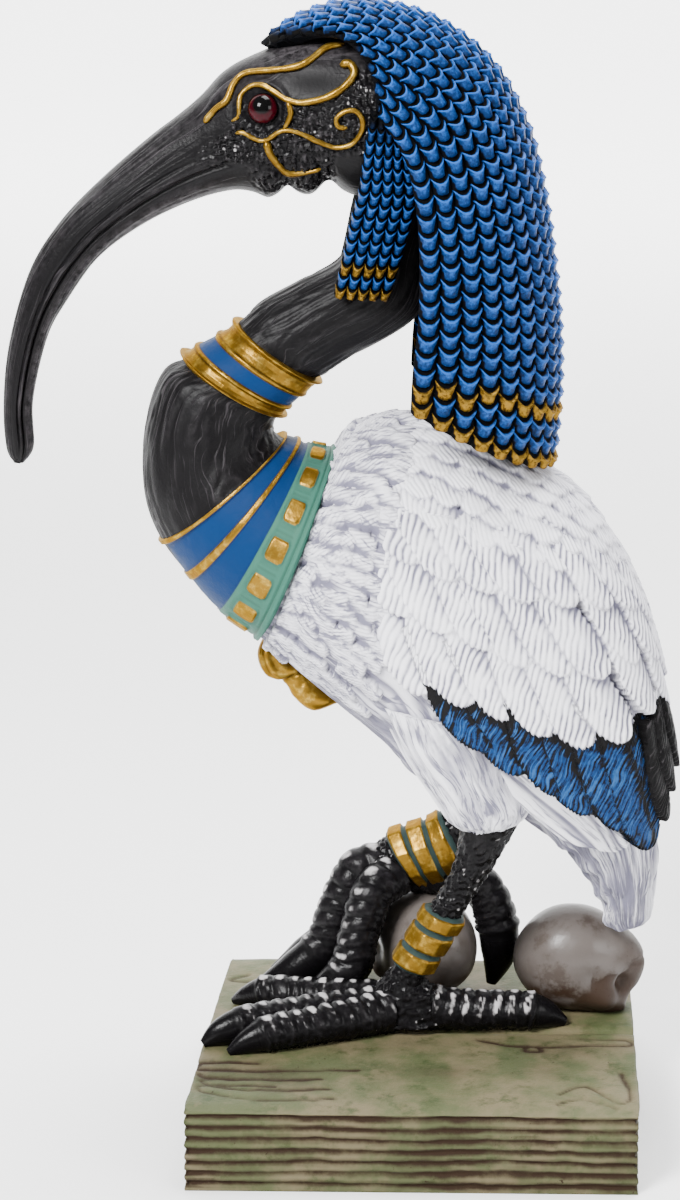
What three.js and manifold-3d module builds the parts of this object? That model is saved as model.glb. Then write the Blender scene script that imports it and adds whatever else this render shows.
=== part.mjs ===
// Painted resin figure of an ibis in a beaded wig, standing on an open book with a skull under one foot and
// another behind the heel.
// Millimetres, +Z up. The origin is the middle of the plinth's underside, and the beak points along -X.
// What stands on the plinth is drawn from the bird's mid-plane, y = 0, and from the plinth's top, z = 0.

import * as THREE from "three";
import { mergeVertices } from "three/addons/utils/BufferGeometryUtils.js";
import Module from "manifold-3d";

const wasm = await Module();
wasm.setup();

// Driving dimensions: the plinth, an open book
const PLINTH_LENGTH = 98;
const PLINTH_DEPTH = 92;
const PLINTH_HEIGHT = 19;
const LEFT_END_SLANT = 5.4;
const RIGHT_END_SLANT = 2.8;
const LEAVES = 7;
const TOP_LEAF = 1.7;
const GROOVE_DEPTH = 0.8;
const GROOVE_WIDTH = 0.9;
const GUTTER_DEPTH = 1.2;
const GUTTER_WIDTH = 5;
const EDGE_ROLL_DROP = 1.1;
const EDGE_ROLL_DEPTH = 8;

// Driving dimensions: the figure that stands on it, which the tables below draw at its drawn height
const FIGURE_HEIGHT = 231.7;
const DRAWN_HEIGHT = 231.7;
const FIGURE_BEHIND_MIDDLE = (8 / 92) * PLINTH_DEPTH;
const FIT_GAP = 0.3;
const SKULL_SEAT = 0.8;
const SKULL_HALF_LENGTH = 13;
const SKULL_HALF_WIDTH = 11;
const SKULL_HALF_HEIGHT = 12.6;
const GRIPPED_SKULL_AT = [2.8, 17];
const REAR_SKULL_AT = [37.2, 8];
const REAR_SKULL_TURN = -8;
const GRIPPED_SKULL_TURN = 130;

// Driving dimensions: dress and jewellery
const BANGLE_WALL = 0.9;
const BANGLE_RIM = 0.9;
const COLLAR_WALL = 0.8;
const COLLAR_RIM = 0.8;
const BORDER_STEP = 0.5;
const COLLAR_SQUARES = 12;
const SQUARE_HEIGHT = 0.9;
const ANKLET_WALL = 0.9;
const BACK_STRANDS = 13;
const BACK_BEAD_ROWS = 9;
const LAPPET_STRANDS = 4;
const LAPPET_BEAD_ROWS = 5;
const STRAND_RELIEF = 1.0;
const BEAD_STEP = 0.8;
const BEAD_LENGTH_SHARE = 0.86;
const WING_COLUMNS = 8;
const FEATHER_STEP = 1.3;
const WING_THICKNESS = 7;
const SCUTE_RELIEF = 0.45;
const EYE_RADIUS = 3.4;

// How finely round bodies are faceted
const BODY_SIDES = 12;
const COLLAR_SIDES = 12;
const LIMB_SIDES = 8;
const TOE_SIDES = 6;
const HEAD_RINGS = 16;
const BODY_RINGS = 12;
const THIGH_RINGS = 4;
const SCARAB_RINGS = 9;
const TOE_RINGS = 8;
const SKULL_SIDES = 16;
const SKULL_ROWS = 10;
const EYE_SIDES = 8;
const EYE_ROWS = 5;
const EDGE_ROLL_STEPS = 4;

const TURN = 2 * Math.PI;
const MERGE_DISTANCE = 1e-4;

// Solids

/** A closed BufferGeometry as a manifold solid, its shared corners merged. */
function solid(geometry) {
  const bare = geometry.clone();
  bare.deleteAttribute("normal");
  bare.deleteAttribute("uv");
  const merged = mergeVertices(bare, MERGE_DISTANCE);
  return new wasm.Manifold(
    new wasm.Mesh({
      numProp: 3,
      vertProperties: new Float32Array(merged.attributes.position.array),
      triVerts: new Uint32Array(merged.index.array),
    }),
  );
}

/** A manifold solid as a BufferGeometry. */
function geometryOf(body) {
  const mesh = body.getMesh();
  return new THREE.BufferGeometry()
    .setAttribute("position", new THREE.BufferAttribute(new Float32Array(mesh.vertProperties), 3))
    .setIndex(new THREE.BufferAttribute(new Uint32Array(mesh.triVerts), 1));
}

/** Rings of points, all of one length, skinned into a closed body with its ends fanned shut. */
function skin(rings) {
  const around = rings[0].length;
  const points = rings.flat();
  const triangles = [];
  for (let i = 0; i + 1 < rings.length; i++)
    for (let j = 0; j < around; j++) {
      const a = i * around + j;
      const b = i * around + ((j + 1) % around);
      triangles.push(a, b, b + around, a, b + around, a + around);
    }
  for (const [ring, flip] of [
    [rings[0], true],
    [rings.at(-1), false],
  ]) {
    const hub = points.length;
    const first = flip ? 0 : (rings.length - 1) * around;
    points.push(ring.reduce((sum, p) => sum.map((v, k) => v + p[k] / around), [0, 0, 0]));
    for (let j = 0; j < around; j++) {
      const a = first + j;
      const b = first + ((j + 1) % around);
      triangles.push(...(flip ? [hub, b, a] : [hub, a, b]));
    }
  }
  const made = new THREE.BufferGeometry();
  made.setAttribute("position", new THREE.Float32BufferAttribute(points.flat(), 3));
  made.setIndex(triangles);
  const body = solid(made);
  if (body.volume() > 0) return body;
  for (let k = 0; k < triangles.length; k += 3)
    [triangles[k + 1], triangles[k + 2]] = [triangles[k + 2], triangles[k + 1]];
  made.setIndex(triangles);
  return solid(made);
}

/** The values of a table of stations at t, a station's number with a fraction, on a Catmull-Rom curve. */
function along(stations, t) {
  const last = stations.length - 1;
  const i = Math.min(Math.floor(t), last - 1);
  const f = t - i;
  const row = (k) => stations[Math.max(0, Math.min(last, k))];
  return stations[0].map((_, c) => {
    const [a, b, d, e] = [row(i - 1)[c], row(i)[c], row(i + 1)[c], row(i + 2)[c]];
    return b + 0.5 * f * (d - a + f * (2 * a - 5 * b + 4 * d - e + f * (3 * (b - d) + e - a)));
  });
}

/** Steps from a to b, both included. */
const steps = (a, b, count) => Array.from({ length: count + 1 }, (_, k) => a + ((b - a) * k) / count);

/**
 * A round body drawn by its two outlines in side view. A station is [x, z] on one outline, [x, z] on the
 * other, half its width, and its y where it isn't on the mid-plane. raise gives the relief in millimetres.
 */
function loft(stations, places, around, raise = () => 0) {
  return skin(
    places.map((t) => {
      const [xa, za, xb, zb, half, y = 0] = along(stations, t);
      const reach = Math.hypot(xa - xb, za - zb) / 2;
      return steps(0, TURN, around)
        .slice(0, -1)
        .map((angle) => {
          const out = 1 + raise(t, angle) / reach;
          const side = 1 + raise(t, angle) / half;
          return [
            (xa + xb) / 2 + (out * Math.cos(angle) * (xa - xb)) / 2,
            y + side * Math.sin(angle) * half,
            (za + zb) / 2 + (out * Math.cos(angle) * (za - zb)) / 2,
          ];
        });
    }),
  );
}

/** A round limb along a line of stations [x, y, z, half width, half height], its section never twisting. */
function limb(stations, count, around, raise = () => 0) {
  const places = steps(0, stations.length - 1, count);
  const side = new THREE.Vector3();
  return skin(
    places.map((t, k) => {
      const [x, y, z, half, tall] = along(stations, t);
      const [x0, y0, z0] = along(stations, places[Math.max(k - 1, 0)]);
      const [x1, y1, z1] = along(stations, places[Math.min(k + 1, count)]);
      const ahead = new THREE.Vector3(x1 - x0, y1 - y0, z1 - z0).normalize();
      if (k === 0) side.set(-ahead.y, ahead.x, 0);
      side.addScaledVector(ahead, -side.dot(ahead)).normalize();
      const up = new THREE.Vector3().crossVectors(ahead, side).normalize();
      return steps(0, TURN, around)
        .slice(0, -1)
        .map((angle) => {
          const extra = raise(t, angle);
          return new THREE.Vector3(x, y, z)
            .addScaledVector(side, Math.cos(angle) * (half + extra))
            .addScaledVector(up, Math.sin(angle) * (tall + extra))
            .toArray();
        });
    }),
  );
}

/** Several bodies as one, with the small voids that are shut in between them filled. */
function joined(bodies) {
  const whole = bodies.reduce((sum, next) => sum.add(next));
  const filled = whole.decompose().filter((piece) => piece.volume() > 0);
  return filled.reduce((sum, next) => sum.add(next));
}

// The plinth: an open book of stacked leaves, its gutter along X under the bird

/** The book's outline across its gutter, with a notch between each two leaves on its long edges. */
function bookOutline() {
  const half = PLINTH_DEPTH / 2;
  const shoulder = PLINTH_HEIGHT - EDGE_ROLL_DROP;
  const leaf = (shoulder - TOP_LEAF) / (LEAVES - 0.5);
  const edge = [[half, 0]];
  for (let k = 0; k < LEAVES; k++) {
    const z = shoulder - TOP_LEAF - leaf * (LEAVES - 1 - k);
    edge.push([half, z - GROOVE_WIDTH / 2], [half - GROOVE_DEPTH, z], [half, z + GROOVE_WIDTH / 2]);
  }
  for (const angle of steps(0, Math.PI / 2, EDGE_ROLL_STEPS))
    edge.push([
      half - EDGE_ROLL_DEPTH * (1 - Math.cos(angle)),
      shoulder + EDGE_ROLL_DROP * Math.sin(angle),
    ]);
  edge.push([GUTTER_WIDTH / 2, PLINTH_HEIGHT]);
  const mirrored = edge.map(([y, z]) => [-y, z]).reverse();
  return [...edge, [0, PLINTH_HEIGHT - GUTTER_DEPTH], ...mirrored];
}

/** The book, its ends slanted so that the back edge lies a little further along +X than the front edge. */
function plinthBody() {
  const outline = new THREE.Shape(bookOutline().map(([y, z]) => new THREE.Vector2(y, z)));
  const block = new THREE.ExtrudeGeometry(outline, { depth: PLINTH_LENGTH, bevelEnabled: false });
  const place = block.attributes.position;
  for (let k = 0; k < place.count; k++) {
    const [y, z, run] = [place.getX(k), place.getY(k), place.getZ(k) / PLINTH_LENGTH];
    const backShare = y / PLINTH_DEPTH + 0.5;
    const slant = run < 0.5 ? LEFT_END_SLANT : RIGHT_END_SLANT;
    place.setXYZ(k, (run - 0.5) * PLINTH_LENGTH + backShare * slant, y, z);
  }
  return solid(block);
}

// The skulls: a brain case with brow, sockets, cheek arches and upper teeth, without its lower jaw

/** Bumps and hollows on a skull: azimuth and elevation of the middle, share of the radius, and spread. */
const SKULL_FORMS = [
  [0, -6, 0.24, 34],
  [0, 14, 0.05, 22],
  [24, -16, -0.26, 11],
  [-24, -16, -0.26, 11],
  [0, -34, -0.16, 8],
  [46, -34, 0.16, 13],
  [-46, -34, 0.16, 13],
  [0, -50, 0.3, 22],
  [62, -8, -0.1, 16],
  [-62, -8, -0.1, 16],
  [180, -8, 0.08, 40],
  [120, -70, -0.06, 30],
];

/** A skull that looks along +X from the middle of its brain case, grown by extra. */
function skullBody(extra = 0) {
  const ball = new THREE.SphereGeometry(1, SKULL_SIDES, SKULL_ROWS);
  const place = ball.attributes.position;
  const direction = new THREE.Vector3();
  const form = new THREE.Vector3();
  for (let k = 0; k < place.count; k++) {
    direction.set(place.getX(k), -place.getZ(k), place.getY(k)).normalize();
    let swell = 1;
    for (const [azimuth, elevation, height, spread] of SKULL_FORMS) {
      const [a, e] = [azimuth, elevation].map(THREE.MathUtils.degToRad);
      form.set(Math.cos(a) * Math.cos(e), Math.sin(a) * Math.cos(e), Math.sin(e));
      const apart = THREE.MathUtils.radToDeg(form.angleTo(direction));
      swell += height * Math.exp(-((apart / spread) ** 2));
    }
    const reach = (half) => half * swell + extra;
    place.setXYZ(
      k,
      direction.x * reach(SKULL_HALF_LENGTH),
      direction.y * reach(SKULL_HALF_WIDTH),
      Math.max(direction.z * reach(SKULL_HALF_HEIGHT), -SKULL_HALF_HEIGHT - extra),
    );
  }
  return solid(ball);
}

/** A skull set down on the book, its underside sunk in a little. */
function placedSkull([x, y], turn, extra = 0) {
  return skullBody(extra)
    .rotate([0, 0, turn])
    .translate([x, y, SKULL_HALF_HEIGHT - SKULL_SEAT]);
}

// The bird: beak, head, neck, body, tail and thighs, drawn by their outlines in side view

const BEAK_AND_HEAD = [
  [-88.5, 130.1, -86.3, 130.1, 1.2],
  [-90.2, 133.9, -84.0, 134.0, 2.6],
  [-90.4, 144.1, -84.0, 144.1, 3.2],
  [-88.7, 157.4, -80.6, 157.9, 3.8],
  [-83.9, 172.9, -76.3, 165.9, 4.5],
  [-77.2, 183.4, -69.1, 175.6, 5.2],
  [-68.4, 192.5, -59.9, 182.6, 6.0],
  [-57.4, 202.0, -49.4, 187.8, 7.4],
  [-47.4, 209.8, -39.9, 190.5, 9.4],
  [-41.2, 216.2, -33.4, 190.1, 11.2],
  [-33.2, 220.4, -25.2, 190.5, 13.2],
  [-25.1, 223.4, -18.7, 191.4, 14.6],
  [-14.5, 225.1, -12.3, 189.7, 15.5],
  [-3.8, 224.7, -5.8, 188.4, 15.5],
  [4.7, 220.5, 0.7, 188.4, 13.5],
  [10.1, 212.1, 4.9, 192.8, 8.0],
];

const NECK = [
  [-11.0, 200.0, 6.5, 197.0, 8.5],
  [-12.4, 187.5, 4.6, 180.0, 9.4],
  [-16.2, 176.5, 0.8, 164.0, 9.8],
  [-25.3, 170.9, -15.0, 153.8, 9.8],
  [-33.6, 166.3, -19.6, 150.6, 10.2],
  [-39.0, 161.2, -22.8, 149.0, 10.4],
  [-48.6, 154.0, -29.2, 142.4, 11.6],
  [-55.3, 150.5, -31.1, 139.0, 12.6],
  [-59.4, 138.6, -31.1, 137.6, 13.6],
  [-59.7, 123.9, -30.4, 136.3, 15.2],
  [-56.0, 113.2, -28.7, 135.4, 17.0],
  [-49.9, 105.0, -25.8, 134.7, 19.0],
  [-43.8, 97.9, -24.1, 133.8, 20.5],
];

const BODY = [
  [-43.8, 97.9, -24.1, 133.8, 19.0],
  [-34.0, 91.1, -17.5, 132.5, 21.5],
  [-25.5, 83.2, -12.2, 138.2, 24.0],
  [-15.5, 74.6, -1.2, 140.3, 25.5],
  [-6.5, 66.9, 10.5, 134.5, 26.0],
  [0.3, 59.4, 24.5, 125.5, 25.5],
  [12.0, 55.0, 35.0, 116.5, 24.5],
  [22.5, 51.0, 42.5, 102.0, 22.0],
  [32.1, 43.0, 48.5, 84.5, 17.5],
  [39.0, 35.4, 52.5, 65.0, 13.0],
  [42.6, 28.7, 55.2, 45.6, 9.0],
  [44.0, 23.4, 54.4, 27.6, 5.5],
  [47.7, 21.7, 51.8, 23.4, 2.5],
];

/** Front and back outlines of a thigh, and how far it stands off the bird's mid-plane. */
const THIGH = [
  [-8.6, 80.0, 18.9, 75.3, 11.0],
  [-3.0, 68.8, 23.4, 64.3, 11.5],
  [3.7, 58.5, 25.8, 56.2, 10.0],
  [8.7, 51.0, 23.4, 51.8, 7.5],
  [12.4, 48.0, 18.5, 48.6, 3.5],
];
const THIGH_OFFSET = 12.5;

function headBody() {
  return loft(BEAK_AND_HEAD, steps(0, BEAK_AND_HEAD.length - 1, HEAD_RINGS), BODY_SIDES);
}

function neckBody() {
  return loft(NECK, steps(0, NECK.length - 1, BODY_RINGS), BODY_SIDES);
}

function bodyAndTail() {
  return loft(BODY, steps(0, BODY.length - 1, BODY_RINGS), BODY_SIDES);
}

function thigh(side) {
  const placed = THIGH.map((station) => [...station, side * THIGH_OFFSET]);
  return loft(placed, steps(0, THIGH.length - 1, THIGH_RINGS), LIMB_SIDES);
}

// The wings: two arches that meet on the back's ridge, in tiers of overlapping feathers

/** Lower edge, ridge and half width of the folded wings, from the shoulder to the tips. */
const WINGS = [
  [-9.0, 104.0, -8.6, 126.5, 22.5],
  [-5.6, 92.5, -3.6, 137.6, 26.5],
  [2.0, 79.3, 5.0, 140.2, 28.5],
  [14.2, 69.2, 20.2, 134.0, 29.0],
  [28.0, 57.0, 36.6, 122.5, 27.5],
  [42.0, 45.4, 49.2, 102.0, 23.0],
  [50.4, 40.6, 55.6, 78.5, 17.0],
  [55.0, 47.0, 57.0, 63.5, 12.0],
];
const WING_TUCK = 112;

/** A point on the wings' arch: t along them, share 0 at the ridge and 1 at the lower edge, and its lift. */
function wingPoint([t, share], side, lift) {
  const [xl, zl, xr, zr, half] = along(WINGS, t);
  const angle = THREE.MathUtils.degToRad(share * WING_TUCK);
  const fall = (1 - Math.cos(angle)) / (1 - Math.cos(THREE.MathUtils.degToRad(WING_TUCK)));
  const reach = Math.hypot(xr - xl, zr - zl);
  const up = lift * Math.cos(angle);
  return [
    xr + (xl - xr) * fall + ((xr - xl) / reach) * up,
    side * Math.sin(angle) * (half + lift),
    zr + (zl - zr) * fall + ((zr - zl) / reach) * up,
  ];
}

/** Edges of the feather tiers as [t, share], each from the wing's front edge to the back's ridge. */
const TIER_EDGES = [
  [[0.5, 0], [1.7, 0], [2.9, 0], [4.0, 0], [4.9, 0]],
  [[0.0, 0.34], [1.6, 0.45], [3.0, 0.44], [4.3, 0.32], [5.2, 0]],
  [[0.4, 0.57], [1.8, 0.59], [3.2, 0.54], [4.4, 0.38], [5.5, 0]],
  [[0.9, 0.77], [2.35, 0.71], [3.6, 0.66], [4.7, 0.5], [5.9, 0]],
  [[1.9, 0.91], [2.9, 0.84], [4.1, 0.76], [5.1, 0.6], [6.3, 0]],
  [[2.4, 0.98], [3.4, 0.94], [4.6, 0.92], [5.7, 0.88], [6.6, 0.4]],
];

/** How far each tier's scallops cut back, as a share of that tier. */
const SCALLOPS = [0.08, 0.3, 0.25, 0.25, 0.18];
const FEATHER_BELLY = 0.45;
const TIER_LIP = 0.02;
const RIDGE_OVERLAP = 0.25;

/** One wing: across each tier the feathers rise to their tips, which end in scallops over the next tier. */
function wing(side) {
  const columns = 2 * WING_COLUMNS;
  const edgeAt = (tier, column) => {
    const edge = TIER_EDGES[tier];
    return along(edge, ((edge.length - 1) * column) / columns);
  };
  const mix = (a, b, share) => a.map((v, k) => v + (b[k] - v) * share);
  const place = (tier, share, column) => mix(edgeAt(tier, column), edgeAt(tier + 1, column), share);
  const last = TIER_EDGES.length - 2;
  return skin(
    steps(0, columns, columns).map((column) => {
      const valley = column % 2 ? 0 : FEATHER_STEP / 2;
      const outer = [wingPoint(place(0, 0, column), side, 0)];
      for (let tier = 0; tier <= last; tier++) {
        const notch = column % 2 ? 0 : SCALLOPS[tier];
        outer.push(
          wingPoint(place(tier, FEATHER_BELLY, column), side, FEATHER_STEP / 2 - valley),
          wingPoint(place(tier, 1 - notch, column), side, FEATHER_STEP - valley),
        );
        if (tier < last) outer.push(wingPoint(place(tier, 1 + TIER_LIP - notch, column), side, -valley));
      }
      const inner = [last + 1, last - 1, 1, 0].map((tier) => {
        return wingPoint(edgeAt(tier, column), side, -WING_THICKNESS);
      });
      return [...outer, ...inner];
    }),
  ).translate([0, -side * RIDGE_OVERLAP, 0]);
}

/** Black flight feathers beyond the last tier: root and tip in side view, half width and stand-off. */
const FLIGHT_FEATHERS = [
  [50.0, 82.0, 54.8, 42.0, 4.4, 9.5],
  [53.0, 84.0, 56.6, 49.0, 4.2, 6.0],
];
const FLIGHT_FEATHER_HALF_DEPTH = 2.4;
const FLIGHT_FEATHER_SHAPE = [0.5, 0.95, 1, 0.75, 0.2];

function flightFeathers(side) {
  const last = FLIGHT_FEATHER_SHAPE.length - 1;
  return joined(
    FLIGHT_FEATHERS.map(([x0, z0, x1, z1, half, off]) => {
      const line = FLIGHT_FEATHER_SHAPE.map((share, k) => {
        const [x, z] = [x0 + ((x1 - x0) * k) / last, z0 + ((z1 - z0) * k) / last];
        return [x - half * share, z, x + half * share, z, FLIGHT_FEATHER_HALF_DEPTH, side * off];
      });
      return loft(line, steps(0, last, last), 4);
    }),
  );
}

// The wig: rows of strung beads over the head, a curtain behind the neck and a lappet at each side

/** Outer edge, a point that bows the row, front edge and half width, from the forehead to the hem. */
const WIG = [
  [-33.8, 221.9, -9.7, 232.3, -8.4, 208.5, 17.0],
  [-25.0, 228.0, -6.9, 230.0, -7.1, 207.0, 19.0],
  [-12.3, 231.0, -2.7, 224.0, -5.4, 204.7, 20.5],
  [2.6, 227.8, 4.7, 215.0, -3.7, 202.0, 21.5],
  [15.4, 218.7, 10.0, 206.5, -2.0, 198.2, 22.5],
  [23.3, 205.5, 13.2, 197.0, -0.7, 192.8, 23.5],
  [27.2, 191.7, 14.3, 188.6, 0.2, 186.2, 24.5],
  [29.6, 176.8, 15.4, 175.8, 0.6, 177.5, 25.5],
  [31.2, 161.9, 15.9, 163.0, 0.4, 166.6, 26.5],
  [31.5, 146.9, 15.5, 150.2, -0.7, 155.7, 27.5],
  [30.4, 130.6, 13.5, 137.6, -1.1, 147.6, 28.0],
];
const WIG_HOLLOW = 5;
const WIG_INNER_PLACES = [0.75, 0.3, -0.3, -0.75];

/** A point on a wig row: t along the strands, turn 0 at the outer edge, a quarter turn at the front edge. */
function wigPoint(t, turn, side, lift) {
  const [xo, zo, xk, zk, xf, zf, half] = along(WIG, t);
  const s = 1 - Math.cos(turn);
  const [a, b, c] = [(1 - s) ** 2, 2 * s * (1 - s), s ** 2];
  const x = a * xo + b * xk + c * xf;
  const z = a * zo + b * zk + c * zf;
  const reach = Math.hypot(xo - xf, zo - zf);
  const out = lift * Math.cos(turn);
  return [
    x + (out * (xo - xf)) / reach,
    side * (half + lift) * Math.sin(turn),
    z + (out * (zo - zf)) / reach,
  ];
}

/** Places of the rows of beads along a strand of a given length: each bead's top, and its flared foot. */
function beadRows(length, rows) {
  const pitch = length / (rows - 1 + BEAD_LENGTH_SHARE);
  return Array.from({ length: rows }, (_, k) => [k * pitch, (k + BEAD_LENGTH_SHARE) * pitch]).flat();
}

/** The beaded curtain: each two rings are one row of beads, each two points round a ring one strand. */
function wigBody() {
  return skin(
    beadRows(WIG.length - 1, BACK_BEAD_ROWS).map((t, row) => {
      const flare = row % 2 ? BEAD_STEP : 0;
      const outer = steps(-BACK_STRANDS, BACK_STRANDS, 2 * BACK_STRANDS).map((k) => {
        const turn = (Math.abs(k) / BACK_STRANDS) * (Math.PI / 2);
        const valley = k % 2 ? STRAND_RELIEF : 0;
        return wigPoint(t, turn, k < 0 ? -1 : 1, flare - valley);
      });
      const [x, , z] = wigPoint(t, Math.PI / 2, 1, 0);
      const half = along(WIG, t)[6];
      const inner = WIG_INNER_PLACES.map((s) => [x + WIG_HOLLOW * (1 - s * s), s * half, z]);
      return [...outer, ...inner];
    }),
  );
}

/** Front edge, back edge and stand-off of a lappet, from the temple to its hem. */
const LAPPET = [
  [-9.7, 210.0, -1.5, 206.0, 16.5],
  [-11.2, 200.9, -1.0, 198.0, 17.0],
  [-12.4, 193.0, -0.2, 191.4, 16.5],
  [-14.2, 186.3, -1.4, 184.6, 15.5],
  [-15.8, 178.4, -3.2, 177.8, 14.5],
  [-17.4, 171.6, -5.1, 171.0, 13.8],
  [-18.1, 167.6, -6.2, 167.0, 13.6],
];
const LAPPET_THICKNESS = 5;
const LAPPET_BOW = 1.5;
const LAPPET_INSET = 0.1;

function lappet(side) {
  const columns = LAPPET_STRANDS * 2;
  return skin(
    beadRows(LAPPET.length - 1, LAPPET_BEAD_ROWS).map((t, row) => {
      const [xf, zf, xb, zb, off] = along(LAPPET, t);
      const flare = row % 2 ? BEAD_STEP : 0;
      const at = (share, out) => [xf + (xb - xf) * share, side * (off + out), zf + (zb - zf) * share];
      const face = steps(0, columns, columns).map((k) => {
        const bow = LAPPET_BOW * Math.sin((Math.PI * k) / columns);
        const valley = k % 2 ? 0 : STRAND_RELIEF;
        return at(k / columns, bow + flare - valley);
      });
      return [...face, at(1 - LAPPET_INSET, -LAPPET_THICKNESS), at(LAPPET_INSET, -LAPPET_THICKNESS)];
    }),
  );
}

// Jewellery: the bangle on the neck, the broad collar, the anklets and the scarab on the breast

/** Outlines of the bangle's bore from its upper rim to its lower rim. */
const BANGLE = [
  [-38.2, 161.4, -21.8, 149.8, 10.6],
  [-40.4, 159.6, -23.0, 148.2, 10.8],
  [-43.6, 157.6, -25.6, 146.2, 11.2],
  [-46.6, 156.0, -27.6, 144.4, 11.6],
  [-49.4, 154.4, -29.4, 142.6, 12.0],
  [-50.8, 153.6, -30.0, 141.4, 12.2],
];

const RIM_SPAN = 0.5;
const RIM_EDGE = 0.05;

function bangle() {
  const last = BANGLE.length - 1;
  const rims = (t) => BANGLE_WALL + (t < RIM_SPAN || t > last - RIM_SPAN ? BANGLE_RIM : 0);
  const upper = [0, RIM_SPAN - RIM_EDGE, RIM_SPAN + RIM_EDGE];
  const lower = upper.map((t) => last - t).reverse();
  return loft(BANGLE, [...upper, ...steps(1, last - 1, last - 2), ...lower], BODY_SIDES, rims);
}

/** Outlines of the collar from its gold rim, past the middle line, to the green border's lower edge. */
const COLLAR = [
  [-55.6, 114.2, -28.9, 135.2, 17.0],
  [-49.5, 106.0, -26.0, 134.3, 19.3],
  [-43.4, 98.9, -24.3, 133.2, 21.0],
  [-33.8, 92.1, -17.7, 131.8, 23.5],
];
const COLLAR_RIM_SPAN = 0.12;
const COLLAR_LINE_AT = 1;
const COLLAR_LINE_SPAN = 0.08;
const COLLAR_EDGE = 0.01;
const BORDER_START = 2.05;
const SQUARE_SPAN = [2.3, 2.7];
const SQUARE_HALF_ANGLE = 0.11;

/** The collar: a gold rim, a gold line round its middle and a border that steps up, each with two edges. */
function collar() {
  const onLine = (t) => t < COLLAR_RIM_SPAN || Math.abs(t - COLLAR_LINE_AT) < COLLAR_LINE_SPAN;
  const line = (t) => COLLAR_WALL + (onLine(t) ? COLLAR_RIM : 0);
  const border = (t) => (t > BORDER_START ? COLLAR_WALL + BORDER_STEP : 0);
  const changes = [COLLAR_RIM_SPAN, COLLAR_LINE_AT - COLLAR_LINE_SPAN, COLLAR_LINE_AT + COLLAR_LINE_SPAN];
  const edges = [...changes, BORDER_START].flatMap((t) => [t - COLLAR_EDGE, t + COLLAR_EDGE]);
  const places = [0, ...edges, (SQUARE_SPAN[0] + SQUARE_SPAN[1]) / 2, COLLAR.length - 1];
  return loft(COLLAR, places, COLLAR_SIDES, (t) => Math.max(line(t), border(t)));
}

/** Raised square plates set round the green border. */
function collarSquares() {
  const place = (t, angle, lift) => {
    const [xa, za, xb, zb, half] = along(COLLAR, t);
    const grow = 1 + (2 * lift) / Math.hypot(xa - xb, za - zb);
    return [
      (xa + xb) / 2 + (grow * Math.cos(angle) * (xa - xb)) / 2,
      Math.sin(angle) * (half + lift),
      (za + zb) / 2 + (grow * Math.cos(angle) * (za - zb)) / 2,
    ];
  };
  const plate = (bearing) => {
    const [a, b] = [bearing - SQUARE_HALF_ANGLE, bearing + SQUARE_HALF_ANGLE];
    const [t0, t1] = SQUARE_SPAN;
    const corners = [[t0, a], [t0, b], [t1, b], [t1, a]];
    const level = (lift) => corners.map(([t, angle]) => place(t, angle, lift));
    return skin([level(-SQUARE_HEIGHT), level(COLLAR_WALL + BORDER_STEP + SQUARE_HEIGHT)]);
  };
  const pitch = TURN / COLLAR_SQUARES;
  return joined(Array.from({ length: COLLAR_SQUARES }, (_, k) => plate(pitch * (k + 0.5))));
}

/** A beetle clasped to the breast: outlines against the feathers and away from them. */
const SCARAB = [
  [-33.4, 91.0, -30.0, 92.5, 2.0],
  [-35.0, 86.6, -28.0, 90.0, 4.4],
  [-33.4, 82.0, -25.6, 86.5, 5.2],
  [-29.0, 80.0, -23.0, 84.0, 4.6],
  [-26.8, 76.6, -20.6, 81.0, 5.6],
  [-22.9, 73.8, -17.6, 79.0, 5.4],
  [-18.0, 75.2, -15.6, 77.6, 3.0],
];

function scarab() {
  return loft(SCARAB, steps(0, SCARAB.length - 1, SCARAB_RINGS), LIMB_SIDES);
}

// Legs and feet: the near foot flat on the book, the far foot clasping the skull

/** Front and back outlines, half width and y of each leg, from the thigh to the foot. */
const NEAR_LEG = [
  [10.9, 51.0, 24.8, 54.0, 5.0, -11.5],
  [9.2, 41.4, 19.5, 43.3, 4.6, -10.6],
  [6.6, 34.7, 14.7, 35.0, 4.0, -9.8],
  [3.5, 29.4, 10.5, 27.2, 3.9, -9.0],
  [-4.3, 15.6, 3.2, 13.4, 4.1, -7.8],
  [-9.4, 8.2, 6.3, 8.8, 5.6, -7.2],
  [-11.0, 2.0, 8.5, 2.0, 6.2, -7.0],
];

const FAR_LEG = [
  [12.0, 52.0, 26.0, 46.0, 5.5, 11.0],
  [5.3, 43.1, 10.1, 31.9, 5.4, 14.0],
  [-5.6, 38.2, 1.3, 27.4, 5.8, 16.0],
  [-11.0, 34.0, -4.0, 26.0, 6.6, 16.5],
];

/** On a leg's table: the middles of its anklet's three bands, half a band's length, and plain rings. */
const NEAR_ANKLET = { middles: [3.1, 3.43, 3.76], half: 0.13, plain: [0, 1, 2, 5, 6] };
const FAR_ANKLET = { middles: [1.05, 1.45, 1.85], half: 0.16, plain: [0, 2.5, 3] };
const BAND_EDGE = 0.05;
const BAND_RINGS = [-1 - BAND_EDGE, -1 + BAND_EDGE, 1 - BAND_EDGE, 1 + BAND_EDGE];

/** A leg whose three bands stand proud of it by the anklet's wall. */
function leg(stations, { middles, half, plain }) {
  const banded = (t) => middles.some((middle) => Math.abs(t - middle) < half);
  const edges = middles.flatMap((middle) => BAND_RINGS.map((share) => middle + share * half));
  const places = [...plain, ...edges].sort((a, b) => a - b);
  return loft(stations, places, LIMB_SIDES, (t) => (banded(t) ? ANKLET_WALL : 0));
}

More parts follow.
